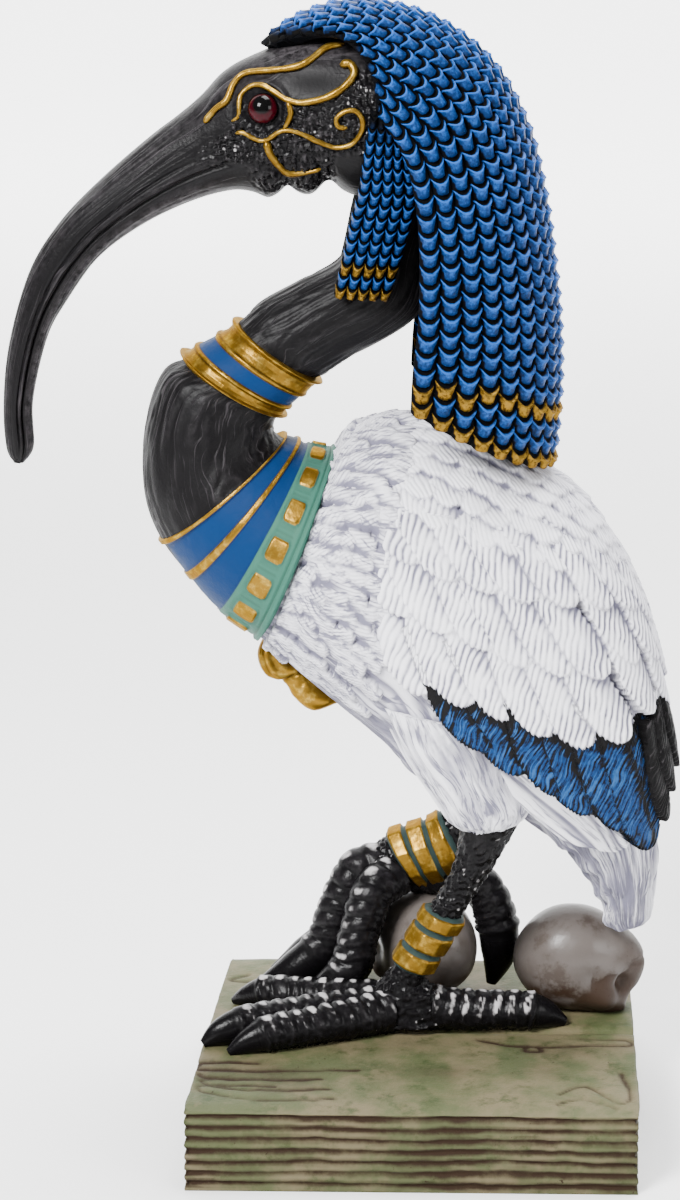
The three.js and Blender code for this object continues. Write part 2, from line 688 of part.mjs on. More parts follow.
/** The lines of the toes: [x, y, z, half width, half height], root first, the last two being the claw. */
const NEAR_TOES = [
  [
    [-5, -9.2, 5.2, 4.6, 5],
    [-13, -12.4, 4.6, 4.4, 4.6],
    [-24, -17, 4.2, 4.2, 4.2],
    [-32, -20.5, 4, 3.8, 4],
    [-37, -22.4, 2.6, 2.6, 2.8],
    [-41, -24, 0.6, 0.8, 0.9],
  ],
  [
    [-5, -7, 5.4, 4.6, 5],
    [-15, -9, 5, 4.4, 4.8],
    [-28, -12.5, 4.6, 4.2, 4.4],
    [-37, -16, 4.4, 3.8, 4.2],
    [-43, -18, 3, 2.8, 3.2],
    [-47, -19.5, 0.8, 0.9, 1],
  ],
  [
    [-5, -4.4, 5.2, 4.4, 5],
    [-14, -1.6, 4.8, 4.2, 4.6],
    [-25, 1.5, 4.4, 4, 4.2],
    [-33, 4, 4, 3.4, 3.8],
    [-38, 5.6, 2.4, 2.4, 2.6],
    [-41.5, 7, 0.6, 0.8, 0.9],
  ],
  [
    [4, -7, 5.2, 5, 5.2],
    [12, -6.4, 4.4, 4.6, 4.6],
    [20, -5.8, 4.2, 4.4, 4.4],
    [26, -5.4, 4, 4.2, 4.2],
    [30.5, -5, 2.8, 3.2, 3.4],
    [35, -4.6, 0.8, 1, 1],
  ],
];

const FAR_TOES = [
  [
    [-4, 13, 30, 5.4, 5.2],
    [-9, 9.5, 27, 5, 5],
    [-12, 6.5, 19, 4.6, 4.8],
    [-14.5, 4.5, 10, 4.6, 4.8],
    [-20, 4, 4.4, 4, 4.2],
    [-27, 3.5, 0.8, 1, 1.2],
  ],
  [
    [-4, 16, 30.5, 5.4, 5.2],
    [-12, 16, 30, 5.2, 5.2],
    [-17, 15, 21, 4.8, 5],
    [-20.5, 14, 12, 4.6, 4.8],
    [-28, 13, 5.4, 4.2, 4.4],
    [-37.5, 12.5, 1, 1, 1.2],
  ],
  [
    [-4, 19, 30, 5.4, 5.2],
    [-11, 22.5, 27, 5, 5],
    [-16, 24, 18, 4.6, 4.8],
    [-19.5, 25, 10, 4.4, 4.6],
    [-26, 25.5, 4.6, 3.8, 4],
    [-33, 26, 0.8, 1, 1.2],
  ],
  [
    [-2, 17, 29.5, 5.2, 5],
    [9, 17, 28.5, 4.8, 4.8],
    [15.8, 17, 26, 4.6, 4.6],
    [19.4, 17, 18, 4.6, 4.8],
    [20.2, 17, 9.5, 4, 4.2],
    [18.5, 17, 1.6, 1, 1.2],
  ],
];

/** A toe's table has its last joint here, where the smooth claw begins. */
const CLAW_ROOT = 4;

/** A toe with plates across its top, one to each ring, every second one raised. */
function toe(line) {
  const scute = (t, angle) => {
    const raised = Math.round((t * TOE_RINGS) / (line.length - 1)) % 2 ? SCUTE_RELIEF : -SCUTE_RELIEF;
    return t < CLAW_ROOT ? raised * Math.max(0, Math.sin(angle)) : 0;
  };
  return limb(line, TOE_RINGS, TOE_SIDES, scute);
}

const EYE_AT = [-32.5, 209.3];
const EYE_OFFSET = 11.2;

function eye(side) {
  const ball = new THREE.SphereGeometry(EYE_RADIUS, EYE_SIDES, EYE_ROWS);
  const [x, z] = EYE_AT;
  return solid(ball).translate([x, side * EYE_OFFSET, z]);
}

// Assembly

const plinthSolid = plinthBody();
const plinthClear = plinthSolid.translate([0, 0, FIT_GAP]);

/** A body of the figure at its real height, set on the plinth and cut free of it. */
function onPlinth(body) {
  return body
    .scale(FIGURE_HEIGHT / DRAWN_HEIGHT)
    .translate([0, FIGURE_BEHIND_MIDDLE, PLINTH_HEIGHT])
    .subtract(plinthClear);
}

const grippedSkull = onPlinth(placedSkull(GRIPPED_SKULL_AT, GRIPPED_SKULL_TURN));
const rearSkull = onPlinth(placedSkull(REAR_SKULL_AT, REAR_SKULL_TURN));
const skullsClear = placedSkull(GRIPPED_SKULL_AT, GRIPPED_SKULL_TURN, FIT_GAP)
  .add(placedSkull(REAR_SKULL_AT, REAR_SKULL_TURN, FIT_GAP));

const sides = [-1, 1];
const bird = joined([
  headBody(),
  neckBody(),
  bodyAndTail(),
  ...sides.map(thigh),
  ...sides.map(wing),
  ...sides.map(flightFeathers),
  wigBody(),
  ...sides.map(lappet),
  ...sides.map(eye),
  bangle(),
  collar(),
  collarSquares(),
  scarab(),
  leg(NEAR_LEG, NEAR_ANKLET),
  leg(FAR_LEG, FAR_ANKLET),
  ...NEAR_TOES.map(toe),
  ...FAR_TOES.map(toe),
]);
const ibis = onPlinth(bird.subtract(skullsClear));

const paint = (colour, roughness, metalness = 0) =>
  new THREE.MeshStandardMaterial({ color: colour, roughness, metalness });

const MATERIALS = {
  ibis: paint(0xe4e2ea, 0.6),
  plinth: paint(0xb9bd92, 0.7),
  gripped_skull: paint(0xcfc6bc, 0.5),
  rear_skull: paint(0xcfc6bc, 0.5),
};

const figure = new THREE.Group();
for (const [name, body] of Object.entries({
  plinth: plinthSolid,
  gripped_skull: grippedSkull,
  rear_skull: rearSkull,
  ibis,
})) {
  const mesh = new THREE.Mesh(geometryOf(body), MATERIALS[name]);
  mesh.name = name;
  figure.add(mesh);
}

export default figure;
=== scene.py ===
import math

import bpy
import numpy as np
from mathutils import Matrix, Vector


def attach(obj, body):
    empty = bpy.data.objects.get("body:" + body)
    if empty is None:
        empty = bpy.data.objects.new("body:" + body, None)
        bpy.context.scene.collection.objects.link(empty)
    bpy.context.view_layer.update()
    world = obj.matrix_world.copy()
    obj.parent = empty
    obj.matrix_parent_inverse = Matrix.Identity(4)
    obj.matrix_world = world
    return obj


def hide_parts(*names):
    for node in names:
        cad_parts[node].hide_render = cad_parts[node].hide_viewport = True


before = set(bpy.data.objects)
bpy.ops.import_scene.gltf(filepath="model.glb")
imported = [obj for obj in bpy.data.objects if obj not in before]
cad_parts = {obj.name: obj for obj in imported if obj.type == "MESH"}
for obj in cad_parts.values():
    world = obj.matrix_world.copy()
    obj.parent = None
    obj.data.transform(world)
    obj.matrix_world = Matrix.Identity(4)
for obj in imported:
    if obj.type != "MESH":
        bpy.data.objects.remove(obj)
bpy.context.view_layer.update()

# Open book
# The plinth is one resin casting in the shape of an open book: stacked leaves with wavy edges, painted pale
# green and cream, with a brown wash left in the grooves and in the strokes scratched into its page.
BOOK_LENGTH = 98.0
BOOK_DEPTH = 92.0
BOOK_HEIGHT = 19.0
BOOK_LEFT_SLANT = 5.4
BOOK_RIGHT_SLANT = 2.8
LEAF_EDGES = (17.1, 14.5, 12.0, 9.4, 6.9, 4.3, 1.7)
LEAF_GROOVE_DEPTH = 0.8
LEAF_GROOVE_HALF_WIDTH = 0.52
PAGE_ROLL_DEPTH = 8.0
PAGE_ROLL_DROP = 1.1
GUTTER_DEPTH = 1.2
GUTTER_HALF_WIDTH = 2.5
STROKE_DEPTH = 0.45
STROKE_HALF_WIDTH = 0.6
BOOK_ROWS = 150
BOOK_CAP_ROWS = 14
SIDE_POINTS = 44
ROLL_POINTS = 12
PAGE_POINTS = 100
UNDER_POINTS = 12
BOOK_CREAM = (0.112, 0.094, 0.051)
BOOK_GREEN = (0.023, 0.036, 0.008)
BOOK_LIGHT_GREEN = (0.058, 0.067, 0.027)
BOOK_BROWN = (0.0155, 0.0072, 0.0022)
FIGURE_AT = np.array([0.0, (8 / 92) * BOOK_DEPTH, BOOK_HEIGHT])
MILLIMETRE = 0.001

# Strokes scratched into the page, each a run of points in mm from the middle of the book
PAGE_STROKES = (
    ((-12, -23.6), (-30, -24.4), (-46, -24.2), (-47.4, -22.2), (-45.5, -20.4), (-34, -19.8)),
    ((-20, -28.8), (-34, -29.4), (-45, -28.2), (-46.8, -26.6)),
    ((-18, -34.2), (-32, -35.4), (-42, -33.4), (-46.6, -30.0), (-44, -29.0)),
    ((-17, -39.6), (-33, -39.8), (-44, -36.8), (-46.8, -33.6), (-44, -32.2), (-30, -33.4)),
    ((15, -5.2), (22, -8.8), (30, -9.4), (40, -8.6), (48, -8.8), (48.6, -5.6), (38, -4.6)),
    ((26, -9.2), (25.4, -12.0), (28.8, -12.0), (28.4, -9.4)),
    ((32, -36), (38, -31.5), (44, -40), (47.5, -37), (46.2, -24)),
    ((31.5, -41), (37, -38.6), (44, -43)),
    ((-39, 33), (-43, 30), (-38, 28.5)),
)


def spline(table, place):
    """Rows of a table at fractional row numbers: the Catmull-Rom curve through the rows, where each span is
    b + f/2 (c - a + f (2a - 5b + 4c - d + f (3 (b - c) + d - a)))."""
    table = np.asarray(table, float)
    last = len(table) - 1
    whole = np.clip(np.floor(place).astype(int), 0, last - 1)
    f = (place - whole)[..., None]
    a, b, c, d = (table[np.clip(whole + step, 0, last)] for step in (-1, 0, 1, 2))
    return b + f / 2 * (c - a + f * (2 * a - 5 * b + 4 * c - d + f * (3 * (b - c) + d - a)))


def scatter(cell, seed):
    """A random number from 0 to 1 for each whole-number cell, mixed from its three coordinates."""
    key = cell @ np.array([73856093, 19349663, 83492791]) + seed * 374761393
    for shift, factor in ((15, 0x2C1B3C6D), (12, 0x297A2D39), (15, 0x1B873593)):
        key = key & 0xFFFFFFFF
        key = (key ^ (key >> shift)) * factor
    return ((key >> 8) & 0xFFFFFF) / 0xFFFFFF


def swings(points, seed=0):
    """Smooth random swings from -1 to 1, about one to a unit: random numbers at the eight corners of each
    cell, blended across it by 3f^2 - 2f^3."""
    cell = np.floor(points).astype(np.int64)
    part = points - cell
    blend = part * part * (3 - 2 * part)
    total = np.zeros(points.shape[:-1])
    for corner in np.ndindex(2, 2, 2):
        weight = np.where(np.array(corner) == 1, blend, 1 - blend).prod(axis=-1)
        total += weight * scatter(cell + corner, seed)
    return 2 * total - 1


def falloff(distance, reach):
    """1 at no distance, falling smoothly to 0 far beyond the reach: exp(-(distance / reach)^2)."""
    return np.exp(-((distance / reach) ** 2))


def outward(points, loop):
    """Unit normals of a grid of points: the cross product of the steps along its rows and its columns,
    turned away from the middle of each row."""
    if loop:
        across = np.roll(points, -1, axis=1) - np.roll(points, 1, axis=1)
    else:
        across = np.gradient(points, axis=1)
    normal = np.cross(np.gradient(points, axis=0), across)
    normal /= np.maximum(np.linalg.norm(normal, axis=-1, keepdims=True), 1e-9)
    away = ((points - points.mean(axis=1, keepdims=True)) * normal).sum(axis=-1).sum()
    return normal if away > 0 else -normal


def grid_faces(rows, columns, loop):
    """The quads between neighbouring rows and columns, with the last column joined to the first on a loop."""
    corner = np.arange(rows * columns).reshape(rows, columns)
    if loop:
        corner = np.concatenate([corner, corner[:, :1]], axis=1)
    quads = [corner[:-1, :-1], corner[:-1, 1:], corner[1:, 1:], corner[1:, :-1]]
    return np.stack(quads, axis=-1).reshape(-1, 4)


def tube(points, **values):
    """A closed skin over rings of points, with both ends fanned shut to their middles. Its faces are turned
    outward by the sign of its volume. Values hold one number for each point."""
    rows, columns = points.shape[:2]
    flat = np.concatenate([points.reshape(-1, 3), points[[0, -1]].mean(axis=1)])
    quads = grid_faces(rows, columns, True)
    ring = np.arange(columns)
    following = np.roll(ring, -1)
    start = (rows - 1) * columns
    first = np.stack([following, ring, np.full(columns, rows * columns)], axis=-1)
    last = np.stack([start + ring, start + following, np.full(columns, rows * columns + 1)], axis=-1)
    triangles = np.concatenate([first, last])
    a, b, c, d = (flat[quads[:, k]] for k in range(4))
    volume = (np.cross(a, b) * c).sum() + (np.cross(a, c) * d).sum()
    e, f, g = (flat[triangles[:, k]] for k in range(3))
    volume += (np.cross(e, f) * g).sum()
    if volume < 0:
        quads, triangles = quads[:, ::-1], triangles[:, ::-1]
    ended = {
        name: np.concatenate([value.ravel(), value[[0, -1]].mean(axis=1)]) for name, value in values.items()
    }
    return flat, quads, triangles, ended


def sheet(points, away, **values):
    """An open skin over a grid of points whose faces are turned to the side that away points to."""
    rows, columns = points.shape[:2]
    flat = points.reshape(-1, 3)
    quads = grid_faces(rows, columns, False)
    a, b, c, d = (flat[quads[:, k]] for k in range(4))
    facing = np.cross(c - a, d - b)
    real = np.linalg.norm(facing, axis=1) > 1e-6
    quads, facing = quads[real], facing[real]
    direction = away.reshape(-1, 3)[quads[:, 0]]
    if (facing * direction).sum() < 0:
        quads = quads[:, ::-1]
    return flat, quads, np.zeros((0, 3), int), {name: value.ravel() for name, value in values.items()}


def piece(name, parts, material, nodes=(), at=FIGURE_AT):
    """One mesh object made of skins, moved to its place in the frame and riding on the figure."""
    starts = np.cumsum([0] + [len(part[0]) for part in parts])
    points = (np.concatenate([part[0] for part in parts]) + at) * MILLIMETRE
    quads = np.concatenate([part[1] + start for part, start in zip(parts, starts)])
    triangles = np.concatenate([part[2] + start for part, start in zip(parts, starts)])
    corners = np.concatenate([quads.ravel(), triangles.ravel()])
    four, three = 4 * np.arange(len(quads)), 3 * np.arange(len(triangles))
    mesh = bpy.data.meshes.new(name)
    mesh.vertices.add(len(points))
    mesh.vertices.foreach_set("co", points.astype(np.float32).ravel())
    mesh.loops.add(len(corners))
    mesh.loops.foreach_set("vertex_index", corners.astype(np.int32))
    mesh.polygons.add(len(quads) + len(triangles))
    face_starts = np.concatenate([four, three + 4 * len(quads)])
    mesh.polygons.foreach_set("loop_start", face_starts.astype(np.int32))
    mesh.update(calc_edges=True)
    mesh.validate()
    for key in sorted({key for part in parts for key in part[3]}):
        value = np.concatenate([part[3].get(key, np.zeros(len(part[0]))) for part in parts])
        layer = mesh.attributes.new(key, "FLOAT", "POINT")
        layer.data.foreach_set("value", value.astype(np.float32))
    mesh.shade_smooth()
    mesh.materials.append(material)
    made = bpy.data.objects.new(name, mesh)
    bpy.context.scene.collection.objects.link(made)
    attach(made, "root")
    if nodes:
        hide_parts(*nodes)


class Sum:
    """A shader socket that takes part in sums: each operator adds one Math node and holds its result."""

    def __init__(self, finish, socket):
        self.finish = finish
        self.socket = socket

    def maths(self, operation, first, second=None):
        node = self.finish.node("Math", {"operation": operation}, {0: first})
        if second is not None:
            self.finish.feed(node.inputs[1], second)
        return Sum(self.finish, node.outputs[0])

    def __add__(self, other):
        return self.maths("ADD", self, other)

    def __radd__(self, other):
        return self.maths("ADD", other, self)

    def __sub__(self, other):
        return self.maths("SUBTRACT", self, other)

    def __rsub__(self, other):
        return self.maths("SUBTRACT", other, self)

    def __mul__(self, other):
        return self.maths("MULTIPLY", self, other)

    def __rmul__(self, other):
        return self.maths("MULTIPLY", other, self)

    def wave(self):
        """The sine of the value."""
        return self.maths("SINE", self)

    def between(self, low, high):
        """0 below low and 1 above high, with a smooth rise between them; low may be the greater."""
        node = self.finish.node(
            "MapRange", {"interpolation_type": "SMOOTHSTEP"}, {0: self, 1: low, 2: high, 3: 0.0, 4: 1.0}
        )
        return Sum(self.finish, node.outputs[0])


class Finish:
    """A paint finish: one material, whose shader takes plain numbers, sums or colours."""

    def __init__(self, name):
        self.material = bpy.data.materials.new(name)
        self.material.use_nodes = True
        self.tree = self.material.node_tree
        self.shader = self.tree.nodes["Principled BSDF"]
        self.place = self.node("TexCoord", {}, {}).outputs["Object"]

    def feed(self, socket, value):
        if isinstance(value, Sum):
            value = value.socket
        if isinstance(value, bpy.types.NodeSocket):
            self.tree.links.new(value, socket)
        elif isinstance(value, tuple) and len(socket.default_value) == 4:
            socket.default_value = (*value, 1.0)
        else:
            socket.default_value = value

    def node(self, kind, settings, sockets):
        made = self.tree.nodes.new("ShaderNode" + kind)
        for key, value in settings.items():
            setattr(made, key, value)
        for key, value in sockets.items():
            self.feed(made.inputs[key], value)
        return made

    def value(self, name):
        """The number that the mesh holds under this name at each point."""
        return Sum(self, self.node("Attribute", {"attribute_name": name}, {}).outputs["Fac"])

    def cloud(self, size, detail=2.0, roughness=0.5):
        """Random cloud from 0 to 1 whose swings are about size mm across."""
        scale = 1 / (size * MILLIMETRE)
        sockets = {"Vector": self.place, "Scale": scale, "Detail": detail, "Roughness": roughness}
        return Sum(self, self.node("TexNoise", {}, sockets).outputs["Fac"])

    def hair(self, fineness):
        """Random lines along a round piece, from 0 to 1: a cloud in the mesh's own round and long places."""
        places = {k: self.value("hair_" + axis) for k, axis in enumerate("xyz")}
        where = self.node("CombineXYZ", {}, places).outputs[0]
        sockets = {"Vector": where, "Scale": fineness, "Detail": 3.0, "Roughness": 0.6}
        return Sum(self, self.node("TexNoise", {}, sockets).outputs["Fac"])

    def blend(self, under, over, share):
        """One colour laid over another by a share from 0 to 1."""
        node = self.node("Mix", {"data_type": "RGBA"}, {0: share, 6: under, 7: over})
        return node.outputs[2]

    def bumps(self, height, rise):
        """A normal tilted by a height from 0 to 1 that stands for rise mm."""
        sockets = {"Height": height, "Distance": rise * MILLIMETRE, "Strength": 1.0}
        return self.node("Bump", {}, sockets).outputs["Normal"]

    def shade(self, **sockets):
        for key, value in sockets.items():
            self.feed(self.shader.inputs[key.replace("_", " ")], value)
        return self.material


def book_finish():
    """Cream and green clouds, light green streaks, a brown wash in the hollows and painted shade under the
    feet.
    """
    finish = Finish("book_paint")
    wash = finish.value("wash")
    colour = finish.blend(BOOK_CREAM, BOOK_LIGHT_GREEN, finish.cloud(13, 4, 0.6).between(0.36, 0.6))
    colour = finish.blend(colour, BOOK_GREEN, finish.cloud(6, 5, 0.7).between(0.5, 0.72) * 0.85)
    colour = finish.blend(colour, BOOK_CREAM, finish.cloud(2.5, 5, 0.7).between(0.52, 0.75) * 0.5)
    stain = wash * (0.45 + 0.8 * finish.cloud(2, 4, 0.7)) + 0.22 * finish.cloud(20, 3).between(0.5, 0.75)
    specks = finish.cloud(1.1, 2).between(0.7, 0.78) * finish.cloud(12, 2).between(0.45, 0.6)
    colour = finish.blend(colour, BOOK_BROWN, (stain + specks * 0.7).between(0.08, 0.95))
    grain = finish.cloud(0.9, 4, 0.6)
    return finish.shade(
        Base_Color=colour,
        Roughness=0.62 + 0.2 * wash,
        Normal=finish.bumps(grain, 0.16),
        Specular_IOR_Level=0.2,
    )


def stroke_hollow(points):
    """How deep the page's strokes cut at each point, 0 to 1: the falloff of the distance to each straight
    run, thinned toward the stroke's ends."""
    hollow = np.zeros(points.shape[:-1])
    wobble = 0.35 * swings(points / 3, 5)
    spot = points[..., :2] + wobble[..., None]
    for stroke in PAGE_STROKES:
        run = np.array(spline(stroke, np.linspace(0, len(stroke) - 1, 8 * len(stroke))))
        for start, end in zip(run[:-1], run[1:]):
            span = end - start
            share = np.clip(((spot - start) @ span) / (span @ span), 0, 1)
            gap = np.linalg.norm(spot - start - share[..., None] * span, axis=-1)
            hollow = np.maximum(hollow, 0.8 * falloff(gap, STROKE_HALF_WIDTH) + 0.2 * falloff(gap, 2.0))
    return hollow


def book_skin():
    """The book's outline across its gutter, carried along its length. The outline runs under the book, up
    the back edge, over both pages with rolled edges and a gutter between them, and down the front edge.
    Leaf edges are wavy grooves, and the ends shrink each outline to the book's middle."""
    half = BOOK_DEPTH / 2
    shoulder = BOOK_HEIGHT - PAGE_ROLL_DROP
    side = np.linspace(0, shoulder, SIDE_POINTS)
    roll = np.linspace(0, math.pi / 2, ROLL_POINTS)[1:]
    page = np.linspace(half - PAGE_ROLL_DEPTH, -half + PAGE_ROLL_DEPTH, PAGE_POINTS)[1:-1]
    fold = GUTTER_DEPTH * np.clip(1 - np.abs(page) / GUTTER_HALF_WIDTH, 0, 1) ** 1.5
    under = np.linspace(-half, half, UNDER_POINTS)[1:-1]
    rolled_y = half - PAGE_ROLL_DEPTH * (1 - np.cos(roll))
    rolled_z = shoulder + PAGE_ROLL_DROP * np.sin(roll)
    side_y = np.full(SIDE_POINTS, half)
    y = np.concatenate([side_y, rolled_y, page, -rolled_y[::-1], -side_y, under])
    z = np.concatenate([side, rolled_z, BOOK_HEIGHT - fold, rolled_z[::-1], side[::-1], 0 * under])
    run = np.linspace(0, 1, BOOK_ROWS)[:, None]
    slant = BOOK_LEFT_SLANT + (BOOK_RIGHT_SLANT - BOOK_LEFT_SLANT) * run
    lean = (y / BOOK_DEPTH + 0.5) * slant
    x = (run - 0.5) * BOOK_LENGTH + lean
    body = np.stack([x, np.broadcast_to(y, x.shape), np.broadcast_to(z, x.shape)], axis=-1)
    shrink = np.linspace(1, 0.02, BOOK_CAP_ROWS)[1:, None, None]
    middle = np.array([0.0, 0.0, BOOK_HEIGHT / 2])

    def cap(ring, slant_here):
        smaller = middle + (ring - middle) * shrink
        centre_x = ring[:, 0] - (ring[:, 1] / BOOK_DEPTH + 0.5) * slant_here
        smaller[..., 0] = centre_x + (smaller[..., 1] / BOOK_DEPTH + 0.5) * slant_here
        return smaller

    front, back = cap(body[0], BOOK_LEFT_SLANT), cap(body[-1], BOOK_RIGHT_SLANT)
    whole = np.concatenate([front[::-1], body, back])
    normal = outward(whole, True)
    normal[: BOOK_CAP_ROWS - 1] = (-1, 0, 0)
    normal[-BOOK_CAP_ROWS + 1 :] = (1, 0, 0)
    upright = np.clip(1 - np.abs(normal[..., 2]) * 1.6, 0, 1)
    height = whole[..., 2] + 0.5 * swings(whole * (0.05, 0.05, 0.16), 1) + 0.2 * swings(whole * 0.3, 2)
    groove = np.zeros(height.shape)
    halo = np.zeros(height.shape)
    for k, level in enumerate(LEAF_EDGES):
        width = LEAF_GROOVE_HALF_WIDTH * (1 + 0.35 * swings(whole * 0.12 + 7 * k, 3))
        groove = np.maximum(groove, falloff(height - level, width) * (1 - 0.1 * (k % 3)))
        halo = np.maximum(halo, falloff(height - level, 2.1 * width))
    groove, halo = groove * upright, halo * upright
    fine = falloff(np.abs((height * 0.95) % 1 - 0.5), 0.15) * (0.5 + 0.5 * swings(whole * 0.08, 8)) * upright
    on_page = (normal[..., 2] > 0.6) & (whole[..., 2] > BOOK_HEIGHT - 2.5)
    stroke = stroke_hollow(whole) * on_page
    edge = falloff(np.abs(whole[..., 1]) - half + 1.2, 1.6) * falloff(whole[..., 2] - BOOK_HEIGHT, 3.0)
    relief = 0.25 * swings(whole * 0.09, 4) + 0.12 * swings(whole * 0.3, 9)
    relief = relief - LEAF_GROOVE_DEPTH * groove - 0.3 * fine - STROKE_DEPTH * stroke - 0.2 * edge
    relief[whole[..., 2] < 0.05] = 0
    drawn = 0.75 + 0.4 * swings(whole * 0.1, 10)
    # Painted shadow: the brown wash darkens the page under the feet, where the bird's shade falls.
    under_feet = falloff(np.abs(whole[..., 1] + 17) - 6, 9.0) * on_page
    painted_foot_shadow = under_feet * (0.3 + 0.25 * swings(whole * 0.07, 12))
    wash = (0.9 * groove + 0.6 * halo + 0.6 * fine + 1.0 * stroke) * drawn + painted_foot_shadow
    wash = np.clip(wash + 0.13 * upright * (1 + swings(whole * 0.12, 13)), 0, 1.2)
    return tube(whole + normal * relief[..., None], wash=wash)


piece("book", [book_skin()], book_finish(), ["plinth"], at=np.zeros(3))


# Skulls
# Two resin castings with a pearl grey finish, glued to the page: one is clasped by the raised foot with its
# face turned away, the other lies behind the heel. A brown wash stays in the sockets and along the bones.
SKULL_HALF_SIZE = np.array([13.0, 11.0, 12.6])
SKULL_SEAT = 0.8
SKULL_ROWS = 80
SKULL_COLUMNS = 120
GRIPPED_SKULL_AT = (2.8, 17.0)
GRIPPED_SKULL_TURN = 130.0
REAR_SKULL_AT = (37.2, 8.0)
REAR_SKULL_TURN = -8.0
BONE = (0.088, 0.076, 0.069)
BONE_SHADE = (0.062, 0.050, 0.043)
BONE_BROWN = (0.022, 0.010, 0.0042)

# Bumps and hollows on a skull: azimuth, elevation, share of its radius, and spread in degrees
SKULL_FORMS = (
    (0, -6, 0.24, 34),
    (0, 14, 0.05, 22),
    (24, -16, -0.27, 11),
    (-24, -16, -0.27, 11),
    (0, -34, -0.18, 8),
    (46, -34, 0.16, 13),
    (-46, -34, 0.16, 13),
    (0, -50, 0.3, 22),
    (62, -8, -0.1, 16),
    (-62, -8, -0.1, 16),
    (180, -8, 0.08, 40),
    (120, -70, -0.06, 30),
)


def skull_skin(place, turn, seed):
    """A ball whose radius swells by a falloff of the angle to each form, with wandering hollows between the
    bones, flattened where it rests, turned and set down on the page."""
    tilt = np.linspace(-89.5, 89.5, SKULL_ROWS)[:, None]
    bearing = np.linspace(0, 360, SKULL_COLUMNS, endpoint=False)[None, :]
    a, e = np.radians(bearing), np.radians(tilt)
    ray = np.stack([np.cos(a) * np.cos(e), np.sin(a) * np.cos(e), np.sin(e) + 0 * a], axis=-1)
    swell = np.ones(ray.shape[:2])
    wash = np.zeros(ray.shape[:2])
    for azimuth, elevation, height, spread in SKULL_FORMS:
        u, v = math.radians(azimuth), math.radians(elevation)
        form = np.array([math.cos(u) * math.cos(v), math.sin(u) * math.cos(v), math.sin(v)])
        apart = np.degrees(np.arccos(np.clip(ray @ form, -1, 1)))
        swell += height * falloff(apart, spread)
        if height < -0.15:
            wash = np.maximum(wash, falloff(apart, 0.9 * spread))
    face = np.clip((ray @ np.array([0.86, 0.0, -0.51]) - 0.35) / 0.4, 0, 1)
    crack = falloff(swings(ray * 3.2, seed), 0.09) * face
    wash = np.maximum(wash, 0.8 * crack)
    swell += 0.012 * swings(ray * 2.5, seed + 1) - 0.03 * crack
    points = ray * SKULL_HALF_SIZE * swell[..., None]
    low = -SKULL_HALF_SIZE[2]
    points[..., 2] = np.maximum(points[..., 2], low)
    low_band = np.clip(1 - (points[..., 2] - low) / 11.0, 0, 1)
    wash = wash + 1.5 * low_band * (0.6 + 0.4 * swings(ray * 5, seed + 2))
    wash = np.clip(wash + 0.6 * face * (0.6 + 0.6 * swings(ray * 4, seed + 3)), 0, 1)
    c, s = math.cos(math.radians(turn)), math.sin(math.radians(turn))
    x = place[0] + c * points[..., 0] - s * points[..., 1]
    y = place[1] + s * points[..., 0] + c * points[..., 1]
    z = points[..., 2] + SKULL_HALF_SIZE[2] - SKULL_SEAT
    return tube(np.stack([x, y, np.maximum(z, 0.05)], axis=-1), wash=wash, face=face)


def bone_finish():
    """Pearl grey with soft grey clouds and a brown wash in the hollows."""
    finish = Finish("bone_paint")
    wash = finish.value("wash")
    colour = finish.blend(BONE, BONE_SHADE, finish.cloud(7, 3).between(0.45, 0.75) * 0.7)
    stained = finish.cloud(9, 5, 0.7).between(0.47, 0.66) * 0.35
    brown = (wash * (0.6 + 1.1 * finish.cloud(2.2, 4, 0.7)) + stained).between(0.1, 0.62)
    speck = finish.cloud(0.8, 3).between(0.66, 0.74) * finish.value("face") * 0.7
    colour = finish.blend(colour, BONE_BROWN, brown * 0.9 + speck)
    grain = finish.cloud(2.5, 4, 0.6)
    return finish.shade(
        Base_Color=colour,
        Roughness=0.3 + 0.3 * wash,
        Normal=finish.bumps(grain, 0.12),
        Specular_IOR_Level=0.22,
    )


bone = bone_finish()
gripped = skull_skin(GRIPPED_SKULL_AT, GRIPPED_SKULL_TURN, 11)
rear = skull_skin(REAR_SKULL_AT, REAR_SKULL_TURN, 21)
piece("gripped_skull_bone", [gripped], bone, ["gripped_skull"])
piece("rear_skull_bone", [rear], bone, ["rear_skull"])


# Legs and feet
# Cast with the bird and painted satin black over pebbled skin. The near foot stands flat on the page and the
# far one clasps the skull. The toes have a row of plates, dabbed with white along the top, and smooth claws.
LEG_COLUMNS = 76
LEG_ROWS = 110
TOE_COLUMNS = 52
TOE_ROWS = 112
CLAW_ROOT = 3.35
PLATE_PITCH = 3.5
PLATE_RELIEF = 0.85
PEBBLE_SIZE = 1.35
PEBBLE_RELIEF = 0.6
TOE_BANDS = (0.7, 0.7, 0.7, 1.25)
BLACK = (0.0032, 0.0029, 0.0033)
DRY_BRUSH_AND_GLINT = (0.40, 0.385, 0.385)
DUST_AND_SHEEN_GREY = (0.050, 0.045, 0.049)
SKIN_SHINE = 0.09

